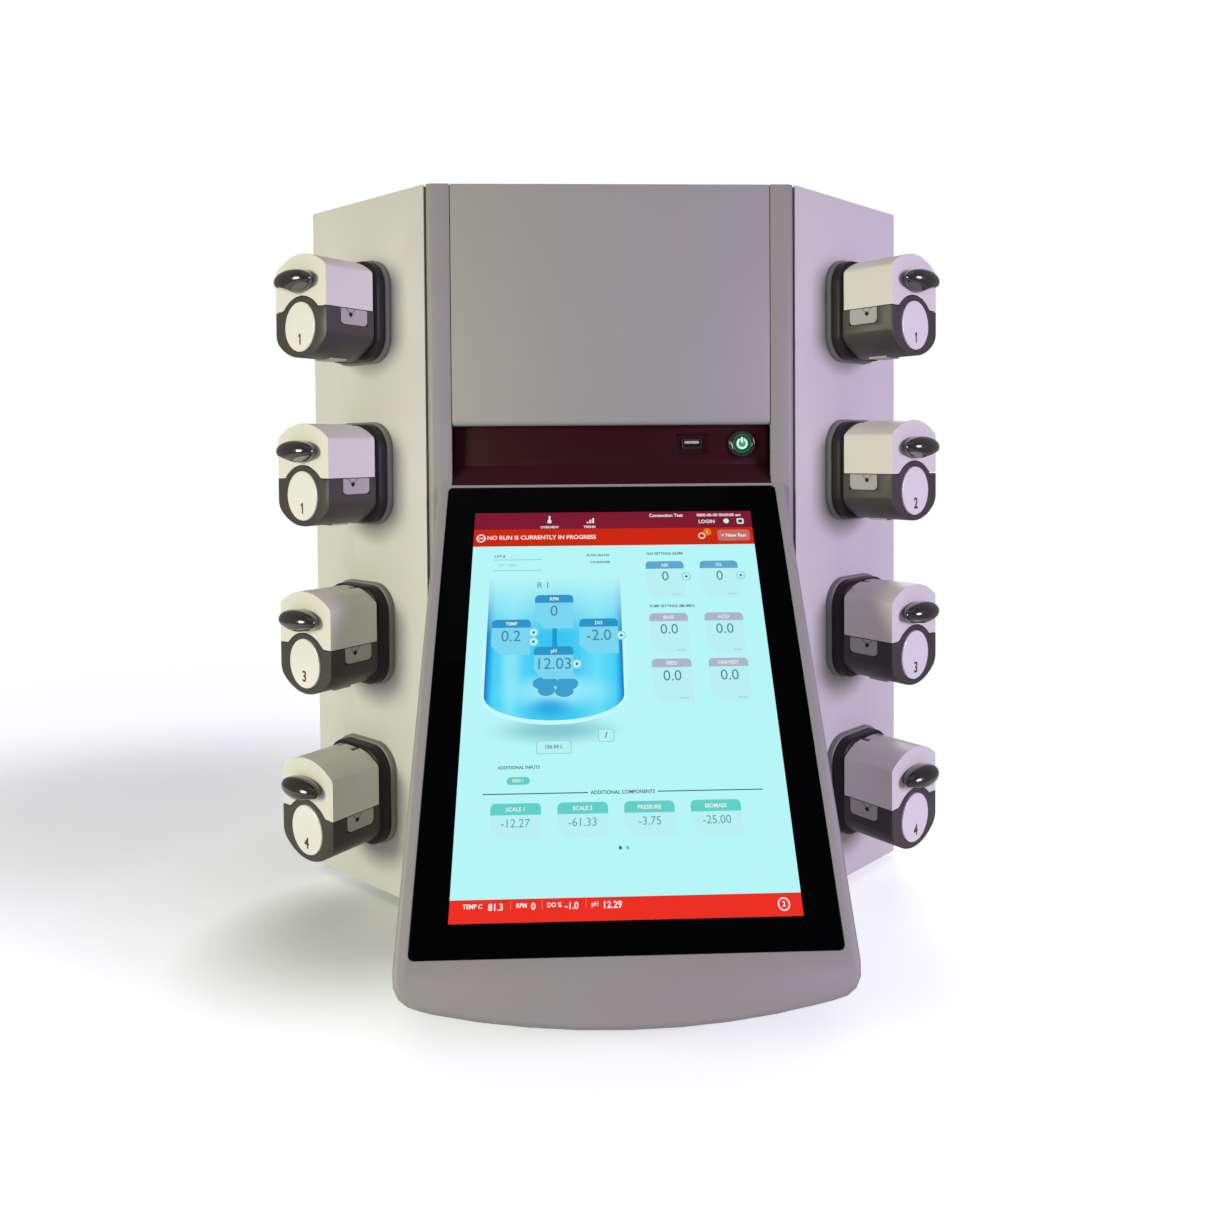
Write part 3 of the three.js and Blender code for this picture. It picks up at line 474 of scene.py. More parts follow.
def copy_at(master, name, matrix):
    """A copy of a finished piece with its own mesh, placed by a matrix."""
    focus(master)
    bpy.ops.object.duplicate()
    made = bpy.context.object
    made.matrix_world = matrix
    bpy.ops.object.transform_apply(location=True, rotation=True, scale=True)
    made.name = name
    made.data.name = name
    return made


def along_y(direction):
    return abs(direction.y) > 0.999


print("helpers ready")

# %% [markdown]
# ## Pump head
#
# A pump head is a dark body with a light flip-up lid. The lid is a block under a shallow arch, and
# the body has the matching arch under it. At the front, the body rises in a bell round its badge,
# and the lid is cut away to clear it, which leaves the thin dark line seen all round the joint.

# %% Pump sizes
PAST = 60.0  # how far cutting tools reach past the head
HALF = 28.7
OUT = 50.9
WALL = 2.5
SPLIT = 11.9
GAP = 0.6
LID_TOP = 49.3
LID_R = 45.5
LID_CORNER = 6.0
LID_FRONT_EDGE = 2.4
LID_REAR_EDGE = 3.4
BODY_LOW = 20.9
BODY_R = 38.0
BODY_CORNER = 11.0
CORNER_STEPS = 8
NOSE_R = 26.5
NOSE_Z = -6.0
NOSE_T = 6.9
NOSE_FOOT_R = 4.4
PLATE_OUT = 12.3
GASKET_OUT = 4.2
PIN_R = 1.5
PIN_BORE = 1.7
PIN_OUT = 17.0
PIN_Z = 45.4
EAR_X = 6.3
EAR_T = 3.0
EAR_R = 2.4
KNUCKLE_HALF = 5.8
KNUCKLE_OUT = 20.5
SHAFT_BORE = 3.2
SHAFT_END = -9.0
MOTOR_R = 17.5
ROLL_OUT = 28.5
TRACK_R = 21.0
TRACK_HALF = 11.0
TRACK_BACK = 4.5
CHAMBER_R = 16.5
CHAMBER_HALF = 14.0
NOTCH_OUT = 29.5
CLAMP_IN = 17.5
CLAMP_OUT = 39.8
CLAMP_LOW = 0.6
CLAMP_SUNK = 1.2
# where the painted shade of the tube's hole sits on the clamp
CLAMP_MARK = (0, -31.5, SPLIT - 4.2)
BADGE_R = 17.0
BADGE_PROUD = 1.0
FIGURE_OUT = OUT + BADGE_PROUD + 0.05
FIGURE_Z = -12.2
PRINT_T = 0.04
TAB_Z = 30.4
TAB_STANDOFF = 5.0
TAB_RADII = (19.4, 8.6, 7.6)
TAB_KEEL = 8.0
TAB_FLANK = (radians(-16), radians(14))


def arch_side(inset=0.0):
    """Height at which the arch of the lid meets its side."""
    return LID_TOP - LID_R + sqrt((LID_R - inset) ** 2 - (HALF - inset) ** 2)


def hinge_bar(name, radius, length, sides, x=0.0):
    """A round bar along the hinge's axis, with its middle at x."""
    made = bar(name, radius, 0, length, sides=sides, turn=(0, pi / 2, 0))
    return set_down(made, (x, length / 2 - PIN_OUT, PIN_Z))


def round_nose_foot(piece, radius, level, depth):
    """Rounds the two corners where the nose's arc meets the joint, down to a depth."""
    foot = sqrt(radius**2 - (level - NOSE_Z) ** 2)
    return round_edges(
        piece, NOSE_FOOT_R, 8,
        lambda m, d: along_y(d) and abs(abs(m.x) - foot) < 0.6 and abs(m.z - level) < 0.3
        and m.y < depth - OUT,
    )


# %% Lid
def lid_block(inset, out0, out1, low):
    """The lid's outer form, or with an inset its hollow: a block under the arch."""
    solid = block("lid", (-HALF + inset, -out1, low), (HALF - inset, -out0, LID_TOP + 2))
    arch = bar("arch", LID_R - inset, -5, PAST, z=LID_TOP - LID_R, sides=192)
    combine(solid, arch, "INTERSECT")
    side = arch_side(inset)
    corner = HALF - inset
    return round_edges(
        solid, LID_CORNER - inset / 2, 8,
        lambda m, d: along_y(d) and abs(abs(m.x) - corner) < 0.1 and abs(m.z - side) < 0.6,
    )


def swing_trim(radius):
    """What lies above and behind the pin and outside the circle that clears the back plate."""
    reach = HALF + 2
    corner = block("corner", (-reach, -PIN_OUT, PIN_Z), (reach, 0, LID_TOP + 3))
    return combine(corner, hinge_bar("circle", radius, 2 * reach + 2, 96), "DIFFERENCE")


def pressure_track(base):
    """The block inside the lid that the rollers press the tube against."""
    half = HALF - WALL + 0.2
    low = (-half, -ROLL_OUT - TRACK_HALF, base)
    high = (half, -ROLL_OUT + TRACK_HALF, TRACK_R + TRACK_BACK)
    return combine(block("track", low, high), bar("sweep", TRACK_R, 0, PAST), "DIFFERENCE")


def pump_lid():
    base = SPLIT + GAP / 2
    rear = PLATE_OUT + GAP
    lid = lid_block(0, rear, OUT, base)
    round_edges(lid, LID_FRONT_EDGE, 6, lambda m, d: abs(m.y + OUT) < 0.01 and m.z > base + 0.1)
    round_edges(lid, LID_REAR_EDGE, 6, lambda m, d: abs(m.y + rear) < 0.01 and m.z > arch_side() - 2)
    combine(lid, lid_block(WALL, rear - 3, OUT - WALL, 0), "DIFFERENCE")
    combine(lid, bar("bell", NOSE_R + GAP, OUT - WALL - 2, OUT + 2, z=NOSE_Z), "DIFFERENCE")
    round_nose_foot(lid, NOSE_R + GAP, base, WALL + 1)
    combine(lid, pressure_track(base), "UNION")
    low = (-KNUCKLE_HALF, -KNUCKLE_OUT, PIN_Z - 3)
    combine(lid, block("knuckle", low, (KNUCKLE_HALF, -PIN_OUT + 3, LID_TOP - 1)), "UNION")
    for sign in (-1, 1):
        x = sign * (EAR_X + EAR_T / 2)
        slot = block("slot", (x - 2, -KNUCKLE_OUT, 40), (x + 2, 0, LID_TOP + 1))
        combine(lid, slot, "DIFFERENCE")
    combine(lid, hinge_bar("pin_bore", PIN_BORE, 14, 32), "DIFFERENCE")
    combine(lid, swing_trim(PIN_OUT - rear - 0.05), "DIFFERENCE")
    return tidy(lid, "pump_lid_plastic")


LID = pump_lid()
print("lid:", len(LID.data.polygons), "faces")

# %% Body with its chamber


def round_corners(core):
    """Rounds the lower corners by slices that all touch one circle, tangent to the side and the arc."""
    x = HALF - BODY_CORNER
    rise = sqrt((BODY_R - BODY_CORNER) ** 2 - x**2)
    last = atan2(rise, x)
    for sign in (-1, 1):
        for step in range(1, CORNER_STEPS + 1):
            angle = last * step / (CORNER_STEPS + 1)
            turn = angle if sign > 0 else pi - angle
            slice_off = block("slice", (BODY_CORNER, -PAST, -30), (BODY_CORNER + 30, 0, 30))
            place = (sign * x, 0, BODY_R - BODY_LOW - rise)
            combine(core, set_down(slice_off, place, (0, turn, 0)), "DIFFERENCE")


def shaft_bore(reach):
    """The hole that the rotor's shaft turns in, from inside the motor to a distance in front."""
    return bar("bore", SHAFT_BORE, SHAFT_END, reach, sides=48)


def roller_chamber():
    """The room round the rotor, open upwards to the lid."""
    chamber = bar("chamber", CHAMBER_R, ROLL_OUT - CHAMBER_HALF, ROLL_OUT + CHAMBER_HALF)
    low = (-CHAMBER_R, -ROLL_OUT - CHAMBER_HALF, 0)
    over = block("over", low, (CHAMBER_R, -ROLL_OUT + CHAMBER_HALF, 30))
    return combine(chamber, over, "UNION")


def pump_shell():
    top = SPLIT - GAP / 2
    core = block("core", (-HALF, -OUT, -BODY_LOW - 1), (HALF, -PLATE_OUT + 1, top))
    combine(core, bar("bowl", BODY_R, -5, PAST, z=BODY_R - BODY_LOW, sides=192), "INTERSECT")
    round_corners(core)
    nose = bar("nose", NOSE_R, OUT - NOSE_T, OUT, z=NOSE_Z, sides=192)
    combine(nose, block("keep", (-24, -PAST, 0), (24, 0, 30)), "INTERSECT")
    combine(core, nose, "UNION")
    round_nose_foot(core, NOSE_R, top, NOSE_T - 0.1)
    round_edges(core, 1.5, 4, lambda m, d: abs(m.y + OUT) < 0.01)
    combine(core, bar("pocket", BADGE_R + 0.4, OUT - 1.6, OUT + 2), "DIFFERENCE")
    combine(core, roller_chamber(), "DIFFERENCE")
    for sign in (-1, 1):
        low = (sign * HALF - CLAMP_SUNK, -CLAMP_OUT, CLAMP_LOW)
        seat = block("seat", low, (sign * HALF + CLAMP_SUNK, -CLAMP_IN, 20))
        combine(core, seat, "DIFFERENCE")
    notch = block("notch", (-40, -4.2, -4.2), (40, 4.2, 4.2))
    combine(core, set_down(notch, (0, -NOTCH_OUT, SPLIT), (pi / 4, 0, 0)), "DIFFERENCE")
    combine(core, shaft_bore(OUT - 3), "DIFFERENCE")
    return tidy(core, "pump_body_plastic")


SHELL = pump_shell()
print("body:", len(SHELL.data.polygons), "faces")

# %% Back plate, gasket, hinge and motor


def plate(name, grow, out0, out1, rim, finish):
    """A rounded plate behind the head, with a soft front rim."""
    half = HALF + 2.2 + grow
    low, high = -BODY_LOW - grow, LID_TOP + grow
    made = block(name, (-half, -out1, low), (half, -out0, high))
    round_edges(made, 17 + grow, 14, lambda m, d: along_y(d) and m.z < 0)
    round_edges(made, 18 + grow, 14, lambda m, d: along_y(d) and m.z > high - 2)
    round_edges(made, rim, 5, lambda m, d: abs(m.y + out1) < 0.01)
    combine(made, shaft_bore(PLATE_OUT + 1), "DIFFERENCE")
    return tidy(made, finish)


def hinge_and_motor():
    parts = [combine(bar("motor", MOTOR_R, -PAST, 1), shaft_bore(2), "DIFFERENCE")]
    for sign in (-1, 1):
        x0, x1 = sorted((sign * EAR_X, sign * (EAR_X + EAR_T)))
        ear = block("ear", (x0, -PIN_OUT, PIN_Z - EAR_R), (x1, -PLATE_OUT + 1, PIN_Z + EAR_R))
        parts.append(combine(ear, hinge_bar("eye", EAR_R, EAR_T, 48, (x0 + x1) / 2), "UNION"))
    parts.append(hinge_bar("pin", PIN_R, 2 * (EAR_X + EAR_T), 32))
    for part in parts:
        tidy(part, "pump_body_plastic")
    return join_pieces("hinge_and_motor", parts)


PLATE = plate("back_plate", 0, GASKET_OUT - 0.1, PLATE_OUT, 3.0, "plate_plastic")
GASKET = plate("gasket", 1.5, 0.3, GASKET_OUT, 1.2, "gasket_plastic")
HINGE = hinge_and_motor()
print("plate, gasket, hinge ears, pin and motor made")

# %% Tube clamps, badge and label


def tube_clamp(sign):
    """The light insert in the side of the body, with painted shade on it: a black diamond for the tube's
    hole and a dark V for the notch.
    """
    x = sign * (HALF - 0.45)
    low = (x - 0.6, -CLAMP_OUT + 0.4, CLAMP_LOW + 0.4)
    insert = block("clamp", low, (x + 0.6, -CLAMP_IN - 0.4, SPLIT - 0.3))
    round_edges(insert, 3.0, 6, lambda m, d: abs(d.x) > 0.99 and m.z < 1.5)
    # painted shade: a black diamond where the tube's hole lies, and two thin dark lines where the notch's
    # edges fall in shadow
    painted_notch_shade = [block("hole", (x - 0.7, -1.3, -1.3), (x + 0.7, 1.3, 1.3))]
    set_down(painted_notch_shade[0], CLAMP_MARK, (pi / 4, 0, 0))
    for lean in (-1, 1):
        line = block("line", (x - 0.65, -0.2, 0), (x + 0.65, 0.2, 5.2))
        painted_notch_shade.append(set_down(line, CLAMP_MARK, (lean * pi / 4, 0, 0)))
    return [tidy(insert, "clamp_plastic")] + [tidy(mark, "shadow_gap") for mark in painted_notch_shade]


def badge():
    """A round white disc with a softly domed face."""
    face = OUT + BADGE_PROUD
    disc = bar("badge", BADGE_R, OUT - 0.8, face)
    round_edges(disc, 0.8, 5, lambda m, d: abs(m.y + face) < 0.01)
    return tidy(disc, "badge_plastic")


def thumb_tab():
    """A glossy grip, full and round above its long ridge and drawn to a blunt keel below."""
    select_none()
    middle = Vector((0, -OUT - TAB_STANDOFF, TAB_Z)) * MM
    bpy.ops.mesh.primitive_uv_sphere_add(segments=64, ring_count=32, radius=MM, location=middle)
    grip = bpy.context.object
    grip.scale = TAB_RADII
    bpy.ops.object.transform_apply(location=True, rotation=True, scale=True)
    lean, rise = TAB_FLANK
    for sign in (-1, 1):
        x0, x1 = sorted((-6 * sign, 45 * sign))
        flank = block("flank", (x0, -30, -30), (x1, 30, 0))
        set_down(flank, (0, -OUT - TAB_STANDOFF, TAB_Z - TAB_KEEL), (lean, -sign * rise, 0))
        combine(grip, flank, "DIFFERENCE")
    focus(grip)
    even = grip.modifiers.new("even_faces", "REMESH")
    even.mode = "VOXEL"
    even.voxel_size = 0.45 * MM
    bpy.ops.object.modifier_apply(modifier=even.name)
    soft = grip.modifiers.new("soft_edges", "SMOOTH")
    soft.factor = 0.5
    soft.iterations = 14
    bpy.ops.object.modifier_apply(modifier=soft.name)
    combine(grip, block("ahead", (-30, -OUT - 30, 0), (30, -OUT - 0.3, 50)), "INTERSECT")
    return tidy(grip, "tab_plastic", 40)


def number(text):
    """A figure printed on the badge, as a flat shape just above its face."""
    if text == "1":
        front, back = -FIGURE_OUT - PRINT_T, -FIGURE_OUT + PRINT_T
        stem = block("stem", (-0.1, front, FIGURE_Z), (1.2, back, -4.9))
        flag = block("flag", (-0.5, front, -2.6), (0.5, back, 0))
        set_down(flag, (0.75, 0, -5.1), (0, radians(50), 0))
        return tidy(join_pieces("figure", [stem, flag]), "maroon_print")
    select_none()
    bpy.ops.object.text_add(location=(0, 0, 0))
    figure = bpy.context.object
    figure.data.body = text
    figure.data.size = 10.5 * MM
    figure.data.offset = 0.22 * MM
    figure.data.align_x = "CENTER"
    figure.data.extrude = PRINT_T * MM
    bpy.ops.object.convert(target="MESH")
    figure = set_down(bpy.context.object, (0, -FIGURE_OUT, FIGURE_Z), (pi / 2, 0, 0))
    return tidy(figure, "maroon_print")


CLAMPS = join_pieces("tube_clamps", tube_clamp(-1) + tube_clamp(1))
BADGE = badge()
TAB = thumb_tab()
LABEL = tidy(block("under_label", (-8, -34, -21.3), (8, -20, -19.9)), "clamp_plastic")
FIGURES = {text: number(text) for text in "1234"}
print("clamps, badge, label and figures made")

# %% Set the eight pump heads
for label, side, row in PUMPS:
    pump = f"pump_{label}_{row + 1}"
    matrix = pump_matrix(side, row)
    for master, part, cad in (
        (SHELL, "shell", "body"), (PLATE, "back_plate", "body"), (GASKET, "gasket", "body"),
        (HINGE, "hinge_and_motor", "body"), (CLAMPS, "tube_clamps", "body"),
        (LABEL, "under_label", "body"), (BADGE, "disc", "badge"), (LID, "cover", "lid"),
        (TAB, "thumb_tab", "tab"),
    ):
        made = copy_at(master, f"{pump}_{part}", matrix)
        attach(made, f"{pump}_lid" if cad in ("lid", "tab") else "station")
        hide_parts(f"{pump}_{cad}")
    figure = "1" if (label, row) == ("left", 1) else str(row + 1)
    made = copy_at(FIGURES[figure], f"{pump}_figure", matrix)
    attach(made, "station")
for master in (SHELL, PLATE, GASKET, HINGE, CLAMPS, LABEL, BADGE, LID, TAB, *FIGURES.values()):
    bpy.data.objects.remove(master, do_unlink=True)
print("pump heads set:", len(PUMPS))

# %% [markdown]
# ## Picture on the display
#
# The display shows the control page: a coloured header and status bar, a vessel picture with its
# readings, tiles for gas and pump settings, and a row of extra readings. It is drawn as thin flat
# shapes in the plane of the glass, in an 800 by 1280 grid, each layer a hair above the last.

# %% Screen drawing helpers
GRID_W = 800.0
GRID_H = 1280.0
STEP = DISPLAY_W / GRID_W
LAYER = 0.03
PAGE = (183, 246, 248)
BOLD_BELOW = 18
BOLD_BY = 0.022
CAPITALS = 0.7
SHAPES = {}
GLOW = {}


def linear(value):
    """A display value from 0 to 255 as linear light."""
    value /= 255
    return value / 12.92 if value <= 0.04045 else ((value + 0.055) / 1.055) ** 2.4


def lit(rgb):
    """A display colour as linear light, with its alpha."""
    return (*[linear(value) for value in rgb], 1)


def ink(name, material):
    GLOW[name] = material
    SHAPES[name] = []


def at(u, v):
    """Grid position as millimetres on the display, from its middle."""
    return (u / GRID_W - 0.5) * DISPLAY_W, (0.5 - v / GRID_H) * DISPLAY_H


def place_at(x, y, layer):
    return Vector((x, y, layer * LAYER)) * MM


def keep(scale, name):
    """Gives the new shape its size and its ink, and stores it with the others of that ink."""
    piece = bpy.context.object
    piece.scale = scale
    bpy.ops.object.transform_apply(location=True, rotation=True, scale=True)
    paint(piece, GLOW[name])
    SHAPES[name].append(piece)
    return piece


def round_patch(piece, middle, radius, corners):
    """Rounds all or the top corners of a rectangle, or cuts its lower left one."""
    bpy.ops.object.mode_set(mode="EDIT")
    bpy.ops.mesh.select_mode(type="VERT")
    bpy.ops.mesh.select_all(action="DESELECT")
    bpy.ops.object.mode_set(mode="OBJECT")
    for corner in piece.data.vertices:
        upper = corner.co.y > middle.y
        left = corner.co.x < middle.x
        corner.select = {"all": True, "top": upper, "cut": left and not upper}[corners]
    bpy.ops.object.mode_set(mode="EDIT")
    segments = 1 if corners == "cut" else 6
    bpy.ops.mesh.bevel(offset=radius * STEP * MM, segments=segments, affect="VERTICES")
    bpy.ops.object.mode_set(mode="OBJECT")


def patch(name, u0, v0, u1, v1, layer=1, radius=0, corners="all"):
    """A flat rectangle; its radius is in grid units."""
    (x0, y1), (x1, y0) = at(u0, v0), at(u1, v1)
    select_none()
    middle = place_at((x0 + x1) / 2, (y0 + y1) / 2, layer)
    bpy.ops.mesh.primitive_plane_add(size=1, location=middle)
    piece = keep(((x1 - x0) * MM, (y1 - y0) * MM, 1), name)
    if radius:
        round_patch(piece, middle, radius, corners)


def oval(name, u, v, half_u, half_v, layer=1, sides=64):
    """A flat oval; its half widths are in grid units."""
    select_none()
    bpy.ops.mesh.primitive_circle_add(
        vertices=sides, radius=1, fill_type="NGON", location=place_at(*at(u, v), layer)
    )
    keep((half_u * STEP * MM, half_v * STEP * MM, 1), name)


def disc(name, u, v, radius, layer=1):
    """A flat round spot; its radius is in grid units."""
    oval(name, u, v, radius, radius, layer, 32)


def words(name, text, u, v, high, layer=3, align="CENTER"):
    """A line of lettering centred on v; high is the height of its capitals in grid units."""
    select_none()
    bpy.ops.object.text_add(location=place_at(*at(u, v), layer))
    line = bpy.context.object.data
    line.body = text
    line.size = high * DISPLAY_H / GRID_H / CAPITALS * MM
    line.align_x = align
    line.align_y = "CENTER"
    line.resolution_u = 3
    if high <= BOLD_BELOW:
        line.offset = BOLD_BY * line.size
    bpy.ops.object.convert(target="MESH")
    keep((1, 1, 1), name)


INKS = {
    "field": PAGE, "header": (126, 27, 51), "status": (202, 40, 17), "footer": (236, 48, 36),
    "white": (238, 236, 238), "pale": (196, 244, 246), "outline": (140, 205, 214),
    "blue_head": (92, 168, 206), "deep_head": (46, 150, 198), "mauve_head": (172, 182, 200),
    "teal_head": (98, 208, 200), "figures": (78, 132, 160), "small": (60, 100, 108),
    "shaft": (24, 156, 214), "blade": (62, 158, 204), "rim": (200, 247, 249), "amber": (226, 120, 30),
    "pill": (196, 110, 104), "glass_tile": (122, 214, 241), "tile": (186, 240, 244),
    "dots": (30, 120, 130), "teal_figures": (84, 166, 170),
}
for name, rgb in INKS.items():
    ink(name, glowing(f"screen_{name}", lit(rgb)[:3])[0])
print("inks:", len(GLOW))

# %% Vessel picture with its shading


def soft_spot(tree, centre, per_reach, strength):
    """The weight of a soft oval spot."""
    spot = add_node(tree, "Group", {"Centre": centre, "Per Reach": per_reach}, node_tree=SPOT)
    weight = {0: spot.outputs["Value"], 1: strength}
    return add_node(tree, "Math", weight, operation="MULTIPLY").outputs[0]


def add_spot(tree, u, v, half_u, half_v, base, rgb, strength):
    """Mixes a soft oval of colour over a colour; returns the mixed socket."""
    per_reach = (1 / (half_u * STEP * MM), 0, 1 / (half_v * STEP * MM * sin(radians(TILT))))
    weight = soft_spot(tree, SCREEN @ place_at(*at(u, v), 0), per_reach, strength)
    return blend(tree, weight, base, lit(rgb))


def shadow_material():
    """The page colour with the vessel's soft shadow on it."""
    material, tree, shader = glowing("screen_vessel_shadow", (0, 0, 0))
    page = tree.nodes.new("ShaderNodeRGB")
    page.outputs[0].default_value = lit(PAGE)
    wide = add_spot(tree, 236, 762, 196, 46, page.outputs[0], (116, 186, 198), 0.75)
    feed(shader, {"Emission Color": wide})
    return material


WATER = (
    (0.3, (66, 202, 242)), (0.62, (104, 222, 247)), (0.88, (72, 208, 246)), (0.96, (30, 158, 222)),
)
WATER_ENDS = ((60, 194, 238), (14, 112, 180))
GLINTS = (
    (240, 640, 176, 62, (172, 244, 252), 0.75),
    (118, 560, 34, 190, (158, 238, 250), 0.5),
    (222, 690, 74, 34, (24, 166, 226), 0.8),
)


def vessel_material():
    """Blue water that is deeper at the sides and fades into the page at the top."""
    material, tree, shader = glowing("screen_vessel", (0, 0.4, 0.8))
    place = add_node(tree, "SeparateXYZ", {0: object_place(tree)})
    shift = {0: place.outputs["X"], 1: at(232, 0)[0] * MM}
    shift = add_node(tree, "Math", shift, operation="SUBTRACT")
    away = add_node(tree, "Math", {0: shift.outputs[0]}, operation="ABSOLUTE")
    across = add_node(tree, "MapRange", {"Value": away.outputs[0], "From Max": 180 * STEP * MM})
    ramp = add_node(tree, "ValToRGB", {0: across.outputs["Result"]})
    for element, rgb in zip(ramp.color_ramp.elements, WATER_ENDS):
        element.color = lit(rgb)
    for part, rgb in WATER:
        ramp.color_ramp.elements.new(part).color = lit(rgb)
    low, high = ((SCREEN @ place_at(0, at(0, v)[1], 0)).z for v in (450, 246))
    height = {"Value": place.outputs["Z"], "From Min": low, "From Max": high}
    height = add_node(tree, "MapRange", height).outputs["Result"]
    color = blend(tree, height, ramp.outputs["Color"], lit(PAGE))
    for u, v, half_u, half_v, rgb, strength in GLINTS:
        color = add_spot(tree, u, v, half_u, half_v, color, rgb, strength)
    feed(shader, {"Emission Color": color})
    return material


ink("shadow", shadow_material())
ink("vessel", vessel_material())
patch("field", 0, 0, GRID_W, GRID_H, 0.5)
oval("shadow", 236, 762, 196, 46, 0.7)
patch("rim", 43, 470, 421, 654, 1.2)
oval("rim", 232, 653, 189, 77, 1.25)
patch("vessel", 52, 240, 412, 654, 2)
oval("vessel", 232, 653, 180, 66, 2.02)
patch("shaft", 226, 380, 238, 610, 2.5)
for u, v, half_u, half_v in ((206, 616, 30, 17), (264, 618, 30, 18), (212, 638, 22, 15), (258, 642, 24, 15)):
    oval("blade", u, v, half_u, half_v, 2.6)
print("vessel drawn")

# %% Tiles and lettering


def tile(head, body, u0, v0, u1, v1, title, value, figure_high=34, head_high=28, figures="figures"):
    """A reading: a coloured head with rounded shoulders, a pale body with a cut corner, a figure."""
    patch(body, u0, v0 + head_high - 2, u1, v1, 3, 26, "cut")
    patch(head, u0, v0, u1, v0 + head_high, 3.5, 12, "top")
    middle = (u0 + u1) / 2
    words("white", title, middle, v0 + head_high / 2 + 1, 11, 4)
    words(figures, value, middle, v0 + head_high + 12 + figure_high / 2, figure_high, 4)
    if v1 - v0 > 130:
        words("outline", "0.0 mL", u1 - 24, v1 - 14, 7, 4)


tile("deep_head", "glass_tile", 178, 315, 282, 433, "RPM", "0", 37)
tile("deep_head", "glass_tile", 64, 401, 168, 521, "TEMP", "0.2", 37)
tile("deep_head", "glass_tile", 298, 401, 402, 521, "DO", "-2.0", 37)
tile("deep_head", "glass_tile", 178, 495, 282, 602, "pH", "12.03", 37)
for u, title in ((485, "AIR"), (637, "O2")):
    tile("blue_head", "tile", u, 195, u + 107, 332, title, "0", 35)
for u, v, title in ((487, 385, "BASE"), (637, 385, "ACID"), (487, 541, "FEED"), (637, 541, "HARVEST")):
    tile("mauve_head", "tile", u, v, u + 105, v + 142, title, "0.0")
for u, title, value in (
    (82, "SCALE 1", "-12.27"), (242, "SCALE 2", "-61.33"),
    (402, "PRESSURE", "-3.75"), (562, "BIOMASS", "-25.00"),
):
    tile("teal_head", "tile", u, 972, u + 121, 1070, title, value, 23, 32, "teal_figures")
patch("header", 0, 0, GRID_W, 66)
patch("status", 0, 66, GRID_W, 132)
patch("footer", 0, 1222, GRID_W, GRID_H)
words("white", "NO RUN IS CURRENTLY IN PROGRESS", 38, 99, 15.2, 3, "LEFT")
disc("white", 21, 100, 13, 2)
disc("status", 21, 100, 9, 2.4)
patch("white", 14, 98, 28, 102, 3)
words("white", "OVERVIEW", 215, 59, 9)
words("white", "TREND", 330, 59, 9)
patch("white", 212, 14, 217, 34, 2)
disc("white", 214.5, 36, 6, 2)
for u, v in ((322, 38), (330, 30), (338, 24)):
    patch("white", u, v, u + 5, 44, 2)
words("white", "LOGIN", 669, 42, 13)
words("white", "Connection Test", 552, 16, 12)
words("white", "0000-00-00 00:00:00 am", 706, 16, 11)
disc("pale", 726, 40, 8, 2)
patch("pale", 757, 30, 777, 52, 2, 4)
patch("header", 761, 35, 773, 47, 3, 2)
disc("white", 651, 98, 10, 2)
disc("status", 651, 98, 7, 2.4)
disc("amber", 668, 83, 12, 3)
words("white", "1", 668, 83, 10, 4)
patch("pill", 697, 75, 790, 118, 2, 9)
words("white", "+ New Run", 743, 97, 13)
words("small", "LOT #", 62, 170, 9, 3, "LEFT")
patch("outline", 60, 182, 196, 185)
patch("outline", 60, 222, 196, 225)
words("outline", "1001   10020", 72, 204, 8, 3, "LEFT")
words("small", "FILTER HEATER", 352, 170, 8)
words("small", "CONDENSER", 358, 196, 8)
words("small", "GAS SETTINGS (SLPM)", 541, 166, 9)
words("small", "PUMP SETTINGS (ML/MIN)", 552, 360, 9)
words("figures", "R 1", 200, 280, 22)
patch("outline", 343, 761, 383, 800, 2, 6)
patch("tile", 345, 763, 381, 798, 3, 5)
words("small", "/", 363, 780, 18, 4)
patch("outline", 189, 793, 276, 833, 2, 5)
patch("tile", 191, 795, 274, 831, 3, 4)
words("figures", "156.54 L", 232, 812, 11, 4)
words("small", "ADDITIONAL INPUTS", 147, 871, 9)
patch("teal_head", 118, 898, 175, 920, 2, 10)
words("white", "FEED 1", 146, 909, 8)
patch("small", 62, 944, 316, 947)
patch("small", 484, 944, 740, 947)
words("small", "ADDITIONAL COMPONENTS", 400, 946, 10)
disc("dots", 390, 1097, 4)
disc("teal_head", 407, 1097, 4)
for u, v in ((597, 253), (750, 251), (176, 446), (176, 478), (410, 460), (291, 554)):
    disc("outline", u, v, 13, 4.5)
    disc("tile", u, v, 10.5, 5)
    disc("small", u, v, 3.5, 5.5)
for u, label, gap, value in (
    (30, "TEMP C", 57, "81.3"), (150, "RPM", 34, "0"), (220, "DO %", 40, "-1.0"), (320, "pH", 25, "12.29"),
):
    words("white", label, u, 1239, 11, 3, "LEFT")
    words("white", value, u + gap, 1242, 17, 3, "LEFT")
for u in (137, 208, 307):
    patch("pill", u, 1226, u + 2, 1250, 2)
disc("white", 758, 1250, 14, 2)
disc("footer", 758, 1250, 11, 2.4)
words("white", "2", 758, 1250, 13)
print("shapes drawn:", sum(len(v) for v in SHAPES.values()))

# %% Lay the picture on the glass
for name, shapes in SHAPES.items():
    made = join_pieces(f"screen_{name}", shapes)
    made.matrix_world = SCREEN
    bpy.ops.object.transform_apply(location=True, rotation=True, scale=True)
    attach(made, "station")
print("picture laid on the glass")

